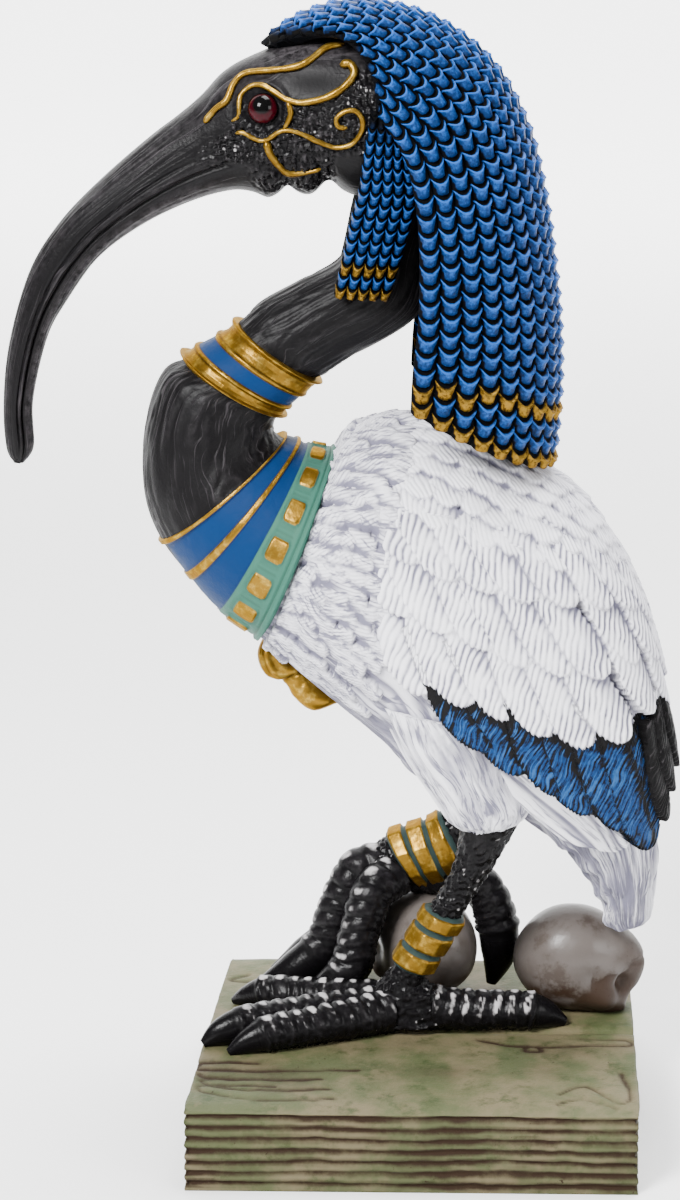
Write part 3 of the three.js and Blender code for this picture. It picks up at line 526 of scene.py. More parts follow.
# Front outline [x, z], back outline [x, z], half width and y of each leg, from the thigh to the foot
NEAR_LEG = (
    (10.9, 51.0, 24.8, 54.0, 5.0, -11.5),
    (9.2, 41.4, 19.5, 43.3, 4.6, -10.6),
    (6.6, 34.7, 14.7, 35.0, 4.0, -9.8),
    (3.5, 29.4, 10.5, 27.2, 3.9, -9.0),
    (-4.3, 15.6, 3.2, 13.4, 4.1, -7.8),
    (-9.4, 8.2, 6.3, 8.8, 5.6, -7.2),
    (-11.0, 2.0, 8.5, 2.0, 6.2, -7.0),
)
FAR_LEG = (
    (12.0, 52.0, 26.0, 46.0, 5.5, 11.0),
    (5.3, 43.1, 10.1, 31.9, 5.4, 14.0),
    (-5.6, 38.2, 1.3, 27.4, 5.8, 16.0),
    (-11.0, 34.0, -4.0, 26.0, 6.6, 16.5),
)

# Middle [x, y, z], half width and half height of each toe, root first, the last two rows being the claw
NEAR_TOES = (
    (
        (-5, -9.2, 5.2, 4.6, 5),
        (-13, -12.4, 4.6, 4.4, 4.6),
        (-24, -17, 4.2, 4.2, 4.2),
        (-32, -20.5, 4, 3.8, 4),
        (-37, -22.4, 2.6, 2.6, 2.8),
        (-41, -24, 0.6, 0.8, 0.9),
    ),
    (
        (-5, -7, 5.4, 4.6, 5),
        (-15, -9, 5, 4.4, 4.8),
        (-28, -12.5, 4.6, 4.2, 4.4),
        (-37, -16, 4.4, 3.8, 4.2),
        (-43, -18, 3, 2.8, 3.2),
        (-47, -19.5, 0.8, 0.9, 1),
    ),
    (
        (-5, -4.4, 5.2, 4.4, 5),
        (-14, -1.6, 4.8, 4.2, 4.6),
        (-25, 1.5, 4.4, 4, 4.2),
        (-33, 4, 4, 3.4, 3.8),
        (-38, 5.6, 2.4, 2.4, 2.6),
        (-41.5, 7, 0.6, 0.8, 0.9),
    ),
    (
        (4, -7, 5.2, 5, 5.2),
        (12, -6.4, 4.4, 4.6, 4.6),
        (20, -5.8, 4.2, 4.4, 4.4),
        (26, -5.4, 4, 4.2, 4.2),
        (30.5, -5, 2.8, 3.2, 3.4),
        (35, -4.6, 0.8, 1, 1),
    ),
)
FAR_TOES = (
    (
        (-4, 13, 30, 5.4, 5.2),
        (-9, 9.5, 27, 5, 5),
        (-12, 6.5, 19, 4.6, 4.8),
        (-14.5, 4.5, 10, 4.6, 4.8),
        (-20, 4, 4.4, 4, 4.2),
        (-27, 3.5, 0.8, 1, 1.2),
    ),
    (
        (-4, 16, 30.5, 5.4, 5.2),
        (-12, 16, 30, 5.2, 5.2),
        (-17, 15, 21, 4.8, 5),
        (-20.5, 14, 12, 4.6, 4.8),
        (-28, 13, 5.4, 4.2, 4.4),
        (-37.5, 12.5, 1, 1, 1.2),
    ),
    (
        (-4, 19, 30, 5.4, 5.2),
        (-11, 22.5, 27, 5, 5),
        (-16, 24, 18, 4.6, 4.8),
        (-19.5, 25, 10, 4.4, 4.6),
        (-26, 25.5, 4.6, 3.8, 4),
        (-33, 26, 0.8, 1, 1.2),
    ),
    (
        (-2, 17, 29.5, 5.2, 5),
        (9, 17, 28.5, 4.8, 4.8),
        (15.8, 17, 26, 4.6, 4.6),
        (19.4, 17, 18, 4.6, 4.8),
        (20.2, 17, 9.5, 4, 4.2),
        (18.5, 17, 1.6, 1, 1.2),
    ),
)


def loft(table, places, columns, crowd=0.0):
    """A round body between two outlines in side view: middle + cos(angle) half the step between the
    outlines, and sin(angle) half its width to the side. The table's last number is its y, if it has six.
    Crowding turns each angle by crowd * sin(2 angle), toward the sides. Returns the points at each place
    along the table, and their places and angles."""
    table = np.asarray(table, float)
    if table.shape[1] == 5:
        table = np.concatenate([table, np.zeros((len(table), 1))], axis=1)
    angle = np.linspace(-math.pi, math.pi, columns, endpoint=False)
    angle = angle + crowd * np.sin(2 * angle)
    place, angle = np.meshgrid(places, angle, indexing="ij")
    xa, za, xb, zb, half, y = np.moveaxis(spline(table, place), -1, 0)
    points = np.stack(
        [
            (xa + xb) / 2 + np.cos(angle) * (xa - xb) / 2,
            y + np.sin(angle) * half,
            (za + zb) / 2 + np.cos(angle) * (za - zb) / 2,
        ],
        axis=-1,
    )
    return points, place, angle


def limb(table, rows, columns):
    """A round limb along the table's middles. Its section is an ellipse across the line, on a side vector
    that each row takes from the one before and squares to the line. Returns points, place and angle."""
    place = np.linspace(0, len(table) - 1, rows)
    values = spline(table, place)
    middle, half, tall = values[:, :3], values[:, 3], values[:, 4]
    ahead = np.gradient(middle, axis=0)
    ahead /= np.linalg.norm(ahead, axis=1, keepdims=True)
    side = np.zeros_like(middle)
    carried = np.array([-ahead[0, 1], ahead[0, 0], 0.0])
    for k, along in enumerate(ahead):
        carried = carried - along * (carried @ along)
        carried = carried / np.linalg.norm(carried)
        side[k] = carried
    up = np.cross(ahead, side)
    angle = np.linspace(0, 2 * math.pi, columns, endpoint=False)
    ring = np.cos(angle)[None, :, None] * (side * half[:, None])[:, None]
    ring = ring + np.sin(angle)[None, :, None] * (up * tall[:, None])[:, None]
    place, angle = np.meshgrid(place, angle, indexing="ij")
    return middle[:, None] + ring, place, angle


def pebbled(points, size, seed):
    """Domes packed like pebbles: each falls from 1 by the square of the distance to the nearest of points
    scattered one to a cell."""
    spot = points / size
    cell = np.floor(spot).astype(np.int64)
    nearest = np.full(spot.shape[:-1], 9.0)
    for step in np.ndindex(3, 3, 3):
        other = cell + np.array(step) - 1
        jitter = np.stack([scatter(other, seed + k) for k in range(3)], axis=-1)
        gap = np.linalg.norm(other + 0.15 + 0.7 * jitter - spot, axis=-1)
        nearest = np.minimum(nearest, gap)
    return np.clip(1.2 - 2.7 * nearest**2, 0, 1)


def glints(points, pebble, seed):
    """Painted glints: half a dab of white on the tops of about one pebble in six, chosen by a random number
    for each cell.
    """
    chance = scatter(np.floor(points / (0.9 * PEBBLE_SIZE)).astype(np.int64), seed)
    return 0.62 * np.clip(2.2 * pebble - 1.2, 0, 1) * (chance > 0.84)


def toe_skin(table, seed, dabs, bands):
    """A limb with a plate to each few millimetres of its top, pebbles on its flanks and a smooth claw. The
    top of each plate takes a dab of white. Its near side, toward the lamp, takes a share of brushed grey
    bands and grey, as painted highlight."""
    points, place, angle = limb(table, TOE_ROWS, TOE_COLUMNS)
    normal = outward(points, True)
    run = np.linalg.norm(np.diff(points.mean(axis=1), axis=0), axis=1)
    length = np.concatenate([[0], np.cumsum(run)])[:, None] + 0 * angle
    top = np.clip(np.sin(angle) * 1.5 + 0.35, 0, 1)
    skin = np.clip((CLAW_ROOT - 0.05 - place) / 0.1, 0, 1)
    bowed = length / PLATE_PITCH + 0.35 * np.cos(angle) ** 2 + 0.12 * swings(points / 4, seed)
    plate = np.abs(np.sin(math.pi * bowed)) ** 0.35
    lines = np.abs(np.sin(2 * math.pi * bowed + 1.5 * np.cos(angle))) ** 0.6
    pebble = pebbled(points, PEBBLE_SIZE, seed)
    flank = (1.1 - top) * PEBBLE_RELIEF * (0.5 * pebble + 0.6 * lines - 0.6)
    relief = top * PLATE_RELIEF * (plate - 0.8) + flank
    cuff = 0.45 * falloff(place - CLAW_ROOT + 0.12, 0.09)
    relief = relief * skin + cuff + 0.15 * swings(points / 2.2, seed + 1) * skin
    number = np.floor(bowed)
    chosen = scatter(np.stack([number, 0 * place, 0 * place], axis=-1).astype(np.int64), seed)
    lit = np.clip(0.35 - normal[..., 1], 0, 1)
    brushed = 0.5 + 0.5 * swings(points * (2.2, 0.9, 0.9), seed + 3)
    middle = np.clip(plate * 4 - 3.0, 0, 1)
    cap = np.clip(1.6 - 3.6 * np.abs(angle - math.pi / 2 + 0.12) + 0.7 * swings(points / 1.3, seed + 4), 0, 1)
    cap = cap * middle * (0.55 + 0.55 * chosen)
    # Painted highlight: the grey bands and the grey on the plates lie only on the side that faces the lamp.
    side = middle * lit * np.clip(normal[..., 2] + 0.55, 0, 1) * brushed * bands
    dusty = 0.3 * plate**3 * lit * np.clip(normal[..., 2] + 0.7, 0, 1) * (0.3 + 0.7 * pebble)
    claw = np.clip((place - CLAW_ROOT) / 0.2, 0, 1)
    made = points + normal * relief[..., None]
    made[..., 2] = np.maximum(made[..., 2], 0.03)
    dab = np.maximum(dabs * cap, side) * skin
    return tube(made, dab=dab, dusty=np.clip(dusty, 0, 1) * skin, claw=claw, wet=0.7 * plate * skin)


def leg_skin(table, seed):
    """A leg's loft, covered in pebbles."""
    points, _, _ = loft(table, np.linspace(0, len(table) - 1, LEG_ROWS), LEG_COLUMNS)
    normal = outward(points, True)
    pebble = pebbled(points * (1.0, 1.0, 0.8), PEBBLE_SIZE, seed)
    relief = PEBBLE_RELIEF * (pebble - 0.5) + 0.25 * swings(points / 3, seed + 2)
    made = points + normal * relief[..., None]
    made[..., 2] = np.maximum(made[..., 2], 0.03)
    # Grey on the pebble tops, part paint and part painted highlight, and painted white glints.
    dusty = 0.2 * pebble**2 * np.clip(0.4 + 0.6 * swings(points / 3, seed + 1), 0, 1)
    return tube(made, dusty=dusty, wet=1.3 * pebble, dab=glints(points, pebble, seed + 3))


def black_finish(name, shine):
    """Satin black with grey on the high skin, part dust and part painted sheen and highlight, grey along
    hair-like scratches, white dabs on the plates, painted white glints on the pebbles, and wet-looking
    pebbles and claws."""
    finish = Finish(name)
    dab = finish.value("dab") * (0.6 + 0.6 * finish.cloud(0.9, 3))
    scratch = finish.hair(1.0).between(0.56, 0.70) * finish.value("haired")
    # The grey is part dust and part painted sheen and highlight.
    dusty = finish.value("dusty") * finish.cloud(1.6, 4, 0.7).between(0.3, 0.75) + scratch * 0.8
    colour = finish.blend(BLACK, DUST_AND_SHEEN_GREY, dusty)
    # The white is dabs of paint on the plates and painted glints on the pebbles.
    colour = finish.blend(colour, DRY_BRUSH_AND_GLINT, dab.between(0.32, 0.75))
    grain = finish.cloud(0.7, 3) + 2.5 * scratch
    return finish.shade(
        Base_Color=colour,
        Roughness=shine + 0.25 * dab - 0.1 * finish.value("claw") - 0.16 * finish.value("wet"),
        Normal=finish.bumps(grain, 0.08),
        Specular_IOR_Level=SKIN_SHINE,
    )


black_skin = black_finish("black_skin", 0.36)
near_foot = [toe_skin(table, 30 + k, 1.0, TOE_BANDS[k]) for k, table in enumerate(NEAR_TOES)]
far_foot = [toe_skin(table, 40 + k, 0.8, 0.5) for k, table in enumerate(FAR_TOES)]
near_foot.append(leg_skin(NEAR_LEG, 50))
far_foot.append(leg_skin(FAR_LEG, 51))
piece("near_leg_and_foot", near_foot, black_skin)
piece("far_leg_and_foot", far_foot, black_skin)


# Anklets
# Three faceted gold bands cast round each leg, with narrow teal grooves between them.
ANKLET_WALL = 1.0
ANKLET_MIDDLES = {"near": (3.1, 3.43, 3.76), "far": (1.05, 1.45, 1.85)}
ANKLET_HALF_BAND = {"near": 0.135, "far": 0.165}
ANKLET_ROWS = 50
ANKLET_COLUMNS = 112
FACETS = 8
GOLD = (0.178, 0.096, 0.011)
GOLD_LIGHT = (0.430, 0.285, 0.055)
GOLD_DARK = (0.016, 0.006, 0.0015)
GOLD_EDGE = (0.62, 0.48, 0.18)
TEAL = (0.019, 0.052, 0.054)


def anklet_skin(table, side, seed):
    """The leg's loft between the outer bands, stood off by the wall on each band, its round section pulled
    toward a polygon whose radius is cos(half a facet) / cos(angle from the facet's middle)."""
    middles, half = ANKLET_MIDDLES[side], ANKLET_HALF_BAND[side]
    places = np.linspace(middles[0] - 1.35 * half, middles[-1] + 1.35 * half, ANKLET_ROWS)
    points, place, angle = loft(table, places, ANKLET_COLUMNS)
    normal = outward(points, True)
    facet = 2 * math.pi / FACETS
    turned = (angle + 0.5 * facet) % facet - facet / 2
    polygon = math.cos(facet / 2) / np.cos(turned)
    apart = np.min([np.abs(place - middle) for middle in middles], axis=0) / half
    band = np.clip((1.0 - apart) / 0.16, 0, 1)
    centre = points.mean(axis=1, keepdims=True)
    radius = np.linalg.norm(points - centre, axis=-1)
    relief = ANKLET_WALL * (0.75 + 0.55 * band) + band * (radius * (polygon - 1) + 0.45)
    relief = relief + 0.05 * swings(points / 1.5, seed)
    end = np.clip((np.abs(place - place.mean()) - (place.max() - place.min()) / 2 + 0.02) / 0.02, 0, 1)
    relief = relief - end * 1.6
    # Painted shade: the downward faces are darkened along with the teal grooves.
    below = np.clip(-0.1 - normal[..., 2], 0, 1)
    return tube(points + normal * relief[..., None], gold=band, hollow=np.clip(1 - band + 0.6 * below, 0, 1))


def gold_finish(name, other, band):
    """Antique gold, brighter in worn patches and, as painted highlight, on upward faces, and brown in the
    hollows and, as painted shade, on undersides. Where gold is 0 the paint is of another colour, and of a
    third one on bands."""
    finish = Finish(name)
    gold = finish.value("gold").between(0.35, 0.65)
    worn = finish.cloud(1.8, 4, 0.65)
    # The light value is painted highlight.
    colour = finish.blend(GOLD, GOLD_LIGHT, worn.between(0.45, 0.75) * 0.7 + finish.value("light"))
    hollow = finish.value("hollow")
    specks = finish.cloud(1.0, 4, 0.7).between(0.6, 0.75)
    # The hollow value darkens hollows and, on undersides, paints shade.
    colour = finish.blend(colour, GOLD_DARK, hollow * 0.8 + specks * 0.35)
    painted = finish.blend(other, band, finish.value("band").between(0.4, 0.6))
    painted = finish.blend(painted, GOLD_DARK, hollow * 0.45 + specks * 0.12)
    colour = finish.blend(painted, colour, gold)
    return finish.shade(
        Base_Color=colour,
        Metallic=0.8 * gold,
        Roughness=0.5 - 0.22 * gold + 0.12 * worn,
        Normal=finish.bumps(finish.cloud(1.2, 4, 0.6), 0.12),
        Specular_IOR_Level=0.1,
        Specular_Tint=GOLD_EDGE,
    )


gold_and_teal = gold_finish("gold_and_teal", TEAL, TEAL)
piece("near_anklet", [anklet_skin(NEAR_LEG, "near", 61)], gold_and_teal)
piece("far_anklet", [anklet_skin(FAR_LEG, "far", 62)], gold_and_teal)


# Belly, tail and thighs
# The bird's white body, carved in long hair-like strokes that run from the breast to the thighs and down the
# tail, with a pale violet wash left in the strokes and deepened as painted shade underneath.
BODY_ROWS = 116
BODY_COLUMNS = 310
THIGH_ROWS = 50
THIGH_COLUMNS = 120
THIGH_OFFSET = 12.5
STREAK_RELIEF = 0.5
WHITE = (0.840, 0.835, 0.880)
VIOLET = (0.150, 0.145, 0.200)
FEATHER_BLUE = (0.003, 0.028, 0.108)
FEATHER_LIGHT = (0.020, 0.080, 0.215)
FEATHER_BLACK = (0.0035, 0.0033, 0.0036)
PLUMAGE_SHINE = 0.08
BODY = (
    (-43.8, 97.9, -24.1, 133.8, 19.0),
    (-34.0, 91.1, -17.5, 132.5, 21.5),
    (-25.5, 83.2, -12.2, 138.2, 24.0),
    (-15.5, 74.6, -1.2, 140.3, 25.5),
    (-6.5, 66.9, 10.5, 134.5, 26.0),
    (0.3, 59.4, 24.5, 125.5, 25.5),
    (12.0, 55.0, 35.0, 116.5, 24.5),
    (22.5, 51.0, 42.5, 102.0, 22.0),
    (32.1, 43.0, 48.5, 84.5, 17.5),
    (39.0, 35.4, 52.5, 65.0, 13.0),
    (42.6, 28.7, 55.2, 45.6, 9.0),
    (44.0, 23.4, 54.4, 27.6, 5.5),
    (47.7, 21.7, 51.8, 23.4, 2.5),
)
THIGH = (
    (-8.6, 80.0, 18.9, 75.3, 11.0),
    (-3.0, 68.8, 23.4, 64.3, 11.5),
    (3.7, 58.5, 25.8, 56.2, 10.0),
    (8.7, 51.0, 23.4, 51.8, 7.5),
    (12.4, 48.0, 18.5, 48.6, 3.5),
)


def streaks(place, angle, count, seed):
    """Hair-like strokes along a round body: soft ridges between narrow grooves at -1, where the zeros of
    swings that are fine round the body and long along it lie. A finer set is half as deep."""
    bend = 0.16 * swings(np.stack([np.cos(angle) * 2, np.sin(angle) * 2, place * 0.9], axis=-1), seed)
    a = angle + bend
    radius = count / (2 * math.pi)
    coarse = swings(np.stack([np.cos(a) * radius, np.sin(a) * radius, place * 0.6], axis=-1), seed + 1)
    fine = swings(np.stack([np.cos(a) * radius * 1.8, np.sin(a) * radius * 1.8, place], axis=-1), seed + 2)
    groove = np.maximum(falloff(coarse, 0.24), 0.7 * falloff(fine, 0.2))
    return 0.5 + 0.25 * coarse - 1.5 * groove


def hair_places(place, angle, radius, stretch):
    """Where each point lies round a piece and along it, in mm, the length cut down so that a cloud there is
    drawn out into lines."""
    bent = angle + 0.12 * swings(np.stack([np.cos(angle) * 3, np.sin(angle) * 3, place * 1.4], axis=-1), 17)
    return {"hair_x": radius * np.cos(bent), "hair_y": radius * np.sin(bent), "hair_z": place * stretch}


def body_skin():
    """The body's loft with strokes along it, ragged under the tail."""
    points, place, angle = loft(BODY, np.linspace(0, len(BODY) - 1, BODY_ROWS), BODY_COLUMNS)
    normal = outward(points, True)
    stroke = streaks(place * 0.9, angle, 76, 70)
    relief = STREAK_RELIEF * stroke * np.clip((12 - place) / 1.5, 0, 1)
    ragged = np.clip((place - 6) / 2, 0, 1) * np.clip(0.5 - normal[..., 2], 0, 1)
    relief = relief + 0.9 * ragged * swings(points / 2.6, 74)
    # Painted shade: the violet wash deepens on faces turned down.
    under = np.clip(-0.2 - normal[..., 2], 0, 1)
    hollow = np.clip(0.52 - 0.45 * stroke + 0.8 * under + 0.2 * swings(points / 9, 73), 0, 1)
    return tube(points + normal * relief[..., None], hollow=hollow, **hair_places(place, angle, 26.0, 1.3))


def thigh_skin(side):
    """A thigh's loft with strokes along it, ragged at its lower end."""
    table = [(*row, side * THIGH_OFFSET) for row in THIGH]
    points, place, angle = loft(table, np.linspace(0, len(THIGH) - 1, THIGH_ROWS), THIGH_COLUMNS)
    normal = outward(points, True)
    stroke = streaks(place * 1.1, angle, 36, 75)
    relief = STREAK_RELIEF * stroke * np.clip(place / 0.4, 0, 1)
    made = points + normal * relief[..., None]
    made[..., 2] += (2.0 + 0.8 * swings(points / 2.2, 77)) * np.clip(place - 2.8, 0, 1)
    hollow = np.clip(0.3 - 0.45 * stroke + 0.2 * swings(points / 9, 76), 0, 1)
    return tube(made, hollow=hollow, **hair_places(place, angle, 13.0, 1.3))


def plumage_finish():
    """White with a violet wash in the strokes and between the barbs, deepened as painted shade in the
    hollows, under overlapping feathers and underneath. Where the mesh says, blue brushed along the barbs over
    black, which the painted shade darkens further."""
    finish = Finish("plumage_paint")
    hollow = finish.value("hollow")
    fine = finish.cloud(1.3, 3, 0.6)
    barb = finish.value("barb").wave() * 0.5 + 0.5
    barbed = finish.value("barbed")
    groove = (1 - barb) * (1 - barb) * barbed
    blue = finish.value("blue").between(0.4, 0.6)
    black = finish.value("black")
    shade = finish.cloud(9, 3).between(0.4, 0.75)
    hair = finish.hair(1.2)
    # The hollow value is part wash in the strokes and part painted shade.
    wash = hollow * 0.8 + groove * (0.35 + 0.8 * fine) + 0.14 * shade + 0.2 * finish.value("high")
    wash = wash + hair.between(0.5, 0.36) * 0.45
    white = finish.blend(WHITE, VIOLET, wash.between(-0.1, 0.95))
    patch = finish.cloud(2.0, 6, 0.8)
    stroke = hair + (fine - 0.5) * 0.25
    ground = 2.95 - 5.0 * stroke - 0.3 * barb + (patch - 0.5) * 2.6 + hollow * 0.8 + black
    dyed = finish.blend(FEATHER_BLUE, FEATHER_LIGHT, stroke.between(0.5, 0.66))
    # Grey streaks on the black quills: brushed paint and painted gloss highlight.
    ink = finish.blend(FEATHER_BLACK, DUST_AND_SHEEN_GREY, black.between(1.2, 1.5) * hair.between(0.55, 0.7))
    dyed = finish.blend(dyed, ink, ground.between(0.05, 0.85))
    colour = finish.blend(white, dyed, blue)
    relief = finish.bumps(finish.cloud(1.0, 4, 0.6) + 2.5 * hair, 0.1)
    return finish.shade(
        Base_Color=colour,
        Roughness=0.6 - 0.2 * blue,
        Normal=relief,
        Specular_IOR_Level=PLUMAGE_SHINE,
    )


plumage_paint = plumage_finish()
body_parts = [body_skin(), thigh_skin(-1), thigh_skin(1)]
piece("body_and_thighs", body_parts, plumage_paint, ["ibis"])


# Mantle and wings
# Rows of carved feathers that overlap like tiles: small scales on the back and breast, three tiers of long
# white ones on each wing, and a last tier of blue ones with black edges. Three black quills end each wing.
MANTLE_ROWS = 106
MANTLE_COLUMNS = 290
MANTLE_SPAN = (0.7, 4.1)
MANTLE_RING_STEP = 0.36
MANTLE_PITCH = 4.4
COLLAR_TUCK = 3.0
NEAR_WING_GRID = (290, 230)
FAR_WING_GRID = (190, 150)
WING_TUCK = 112
SKIRT = 4.0
BARE = -1.2
BARB_RELIEF = 0.29
WHITE_VANE = (0.85, 0.62, 0.035, 2.05, 1.0)
BLUE_VANE = (0.85, 0.55, 0.030, 1.25, 0.6)
STROKE_STRETCH = 0.12
SCALE_VANE = (0.85, 1.0, 0.06, 1.7, 0.45)
MANTLE_VANE = (-0.85, 1.4, 0.08, 1.8, 0.45)
UNDER_WING = -6.0
BLUE_START = 1.95
BLUE_REACH = 0.015
WINGS = (
    (-9.0, 104.0, -8.6, 126.5, 22.5),
    (-5.6, 92.5, -3.6, 137.6, 26.5),
    (2.0, 79.3, 5.0, 140.2, 28.5),
    (14.2, 69.2, 20.2, 134.0, 29.0),
    (28.0, 57.0, 36.6, 122.5, 27.5),
    (42.0, 45.4, 49.2, 102.0, 23.0),
    (50.4, 40.6, 55.6, 78.5, 17.0),
    (55.0, 47.0, 57.0, 63.5, 12.0),
)

# Edges of the feather tiers as [place along the wing, share of the way down from the ridge]
TIER_EDGES = (
    ((0.5, 0), (1.7, 0), (2.9, 0), (4.0, 0), (4.9, 0)),
    ((0.0, 0.34), (1.6, 0.45), (3.0, 0.44), (4.3, 0.32), (5.2, 0)),
    ((0.4, 0.57), (1.8, 0.59), (3.2, 0.54), (4.4, 0.38), (5.5, 0)),
    ((0.9, 0.77), (2.35, 0.71), (3.6, 0.66), (4.7, 0.5), (5.9, 0)),
    ((1.9, 0.91), (2.9, 0.84), (4.1, 0.76), (5.1, 0.6), (6.3, 0)),
    ((2.75, 0.92), (3.65, 0.915), (4.5, 0.88), (5.5, 0.84), (6.45, 0.86)),
)

# Lower border of the wing, as [place along the wing, share of the way down]
WING_BORDER = (
    (0, 0.3),
    (0.4, 0.53),
    (0.9, 0.73),
    (1.9, 0.83),
    (2.6, 0.84),
    (3.4, 0.87),
    (4.6, 0.85),
    (5.7, 0.8),
    (6.6, 0.6),
)

# Each tier's feathers: pitch along its lower edge, length, width and rise
TIERS = (
    (8.8, 24.0, 9.6, 1.1),
    (9.0, 25.0, 9.8, 1.1),
    (9.2, 25.0, 10.2, 1.15),
    (9.0, 34.0, 12.5, 1.25),
)
SCALE_ROWS = 6
SCALE_PITCH = 5.6
QUILL_SIZE = (24.0, 8.5)
QUILL_SLOPE = 78.0
QUILL_TIPS = ((6.85, 0.28), (6.8, 0.52), (6.6, 0.74))


def wing_point(t, share, side):
    """A point on the wings' arch: down from the ridge by 1 - cos(angle), out by sin(angle) half widths."""
    xl, zl, xr, zr, half = np.moveaxis(spline(WINGS, t), -1, 0)
    angle = np.radians(share * WING_TUCK)
    fall = (1 - np.cos(angle)) / (1 - math.cos(math.radians(WING_TUCK)))
    return np.stack([xr + (xl - xr) * fall, side * np.sin(angle) * half, zr + (zl - zr) * fall], axis=-1)


def evenly(line, pitch, phase):
    """Places from 0 to 1 along a line of points, a pitch apart, starting a phase of the pitch in."""
    run = np.concatenate([[0], np.cumsum(np.linalg.norm(np.diff(line, axis=0), axis=1))])
    count = max(int(round(run[-1] / pitch)), 1)
    wanted = (np.arange(count) + phase) * run[-1] / count
    return np.interp(wanted, run, np.linspace(0, 1, len(line)))


def feather_outline(along):
    """Half the width of a feather at a place from its root, 0, to its tip, 1: nearly straight, then a
    rounded tip."""
    tip = np.sqrt(np.clip(1 - (np.clip(along - 0.58, 0, 1) / 0.42) ** 2, 0, 1))
    return np.where(along < 0.58, 1 - 0.2 * (0.58 - along) / 0.58, tip)


def feathered(points, normal, feathers):
    """Relief of overlapping feathers on a skin, the highest on top. Each feather is a tip, the way its shaft
    heads, its length, width, rise, blue, black and vane. It lies in the plane across the skin at its tip: it
    climbs along its shaft to its rise and tilts up to its outer side. Its barbs leave the shaft toward the
    tip: each is a line where along - (lean * off + bend * off^2) stays the same, a step apart. Their depth
    swings from place to place. Blue ones keep their places across and along the barbs too, for brushed
    strokes."""
    flat, away = points.reshape(-1, 3), normal.reshape(-1, 3)
    height = np.full(len(flat), BARE)
    wander = 1.7 * swings(flat / 2.6, 84) + 0.8 * swings(flat / 9, 85)
    depth = np.clip(0.75 + 0.6 * swings(flat / 3.2, 86), 0.1, 1.2)
    keys = ("barb", "barbed", "hollow", "blue", "black", "hair_x", "hair_z")
    layers = {key: np.zeros(len(flat)) for key in keys}
    for number, (tip, heading, length, width, rise, blue, black, vane) in enumerate(feathers):
        shaft, lean, bend, step, mark = vane
        gap = flat - tip
        close = np.flatnonzero((np.abs(gap) < length).all(axis=1))
        if not len(close):
            continue
        nearest = close[np.argmin((gap[close] ** 2).sum(axis=1))]
        facing = away[nearest]
        heading = heading - facing * (heading @ facing)
        heading = heading / np.linalg.norm(heading)
        across = np.cross(heading, facing)
        across = across if across[2] + 0.3 * across[0] > 0 else -across
        gap = gap[close]
        along = 1 + gap @ heading / length
        aside = gap @ across / (width / 2) + 0.12 * np.sin(3 * along)
        reach = feather_outline(np.clip(along, 0, 1))
        off = np.abs(aside - shaft) * width / 2
        barb_line = along * length - lean * off - bend * off**2
        phase = 2 * math.pi * barb_line / step + (1 + 1.6 * blue) * wander[close]
        ragged = reach + 0.05 * np.sin(phase)
        inside = (along > 0) & (along < 1) & (np.abs(aside) < ragged) & (np.abs(gap @ facing) < 0.5 * length)
        margin = np.minimum((ragged - np.abs(aside)) * width / 2, (1 - along) * length)
        outer = -aside * np.sign(shaft)
        lift = rise * (0.2 + 0.8 * along) + 0.6 * (1 - aside**2) + 0.85 * outer - 0.45 * falloff(margin, 0.4)
        taken = inside & (lift > height[close])
        where = close[taken]
        height[where] = lift[taken]
        layers["barb"][where] = phase[taken]
        layers["hair_x"][where] = blue * (phase[taken] * step / (2 * math.pi) + 5 * number)
        layers["hair_z"][where] = blue * STROKE_STRETCH * off[taken]
        layers["barbed"][where] = mark * depth[where] * np.clip(margin[taken] / 0.4, 0, 1)
        # Painted shade: violet at each feather's edge and on its lower side, where its neighbour overlaps it.
        layers["hollow"][where] = (0.35 * falloff(margin, 0.35) + 0.5 * np.clip(0.15 - outer, 0, 1))[taken]
        layers["blue"][where] = blue
        inked = falloff(margin, 0.9) + 0.8 * falloff(outer + 0.15, 0.12)
        layers["black"][where] = (black + blue * inked)[taken]
    layers = {key: value.reshape(points.shape[:-1]) for key, value in layers.items()}
    height = height.reshape(points.shape[:-1])
    around = height
    for axis in (0, 1):
        around = sum(np.roll(around, k, axis=axis) for k in range(-4, 5)) / 9
    # Painted shade: violet where the skin lies below its surroundings, under the overlapping feathers.
    layers["hollow"] = np.clip(layers["hollow"] + 1.1 * (around - height), 0, 1)
    ridge = np.sqrt(0.5 + 0.5 * np.sin(layers["barb"]) + 1e-6)
    height = height + BARB_RELIEF * (2 * ridge - 1.2) * layers["barbed"]
    return height, layers


def skirted(points, normal):
    """A sheet with one more row or column at each border, sunk under it, so that it shows no open edge."""
    top, end = points[:1] - normal[:1] * SKIRT, points[-1:] - normal[-1:] * SKIRT
    points = np.concatenate([top, points, end])
    normal = np.pad(normal, ((1, 1), (1, 1), (0, 0)), mode="edge")
    inner = normal[:, 1:-1]
    left, right = points[:, :1] - inner[:, :1] * SKIRT, points[:, -1:] - inner[:, -1:] * SKIRT
    return np.concatenate([left, points, right], axis=1), normal


def sloping(slope):
    """A level heading turned down by a slope in degrees, in side view."""
    return np.array([math.cos(math.radians(slope)), 0.0, -math.sin(math.radians(slope))])


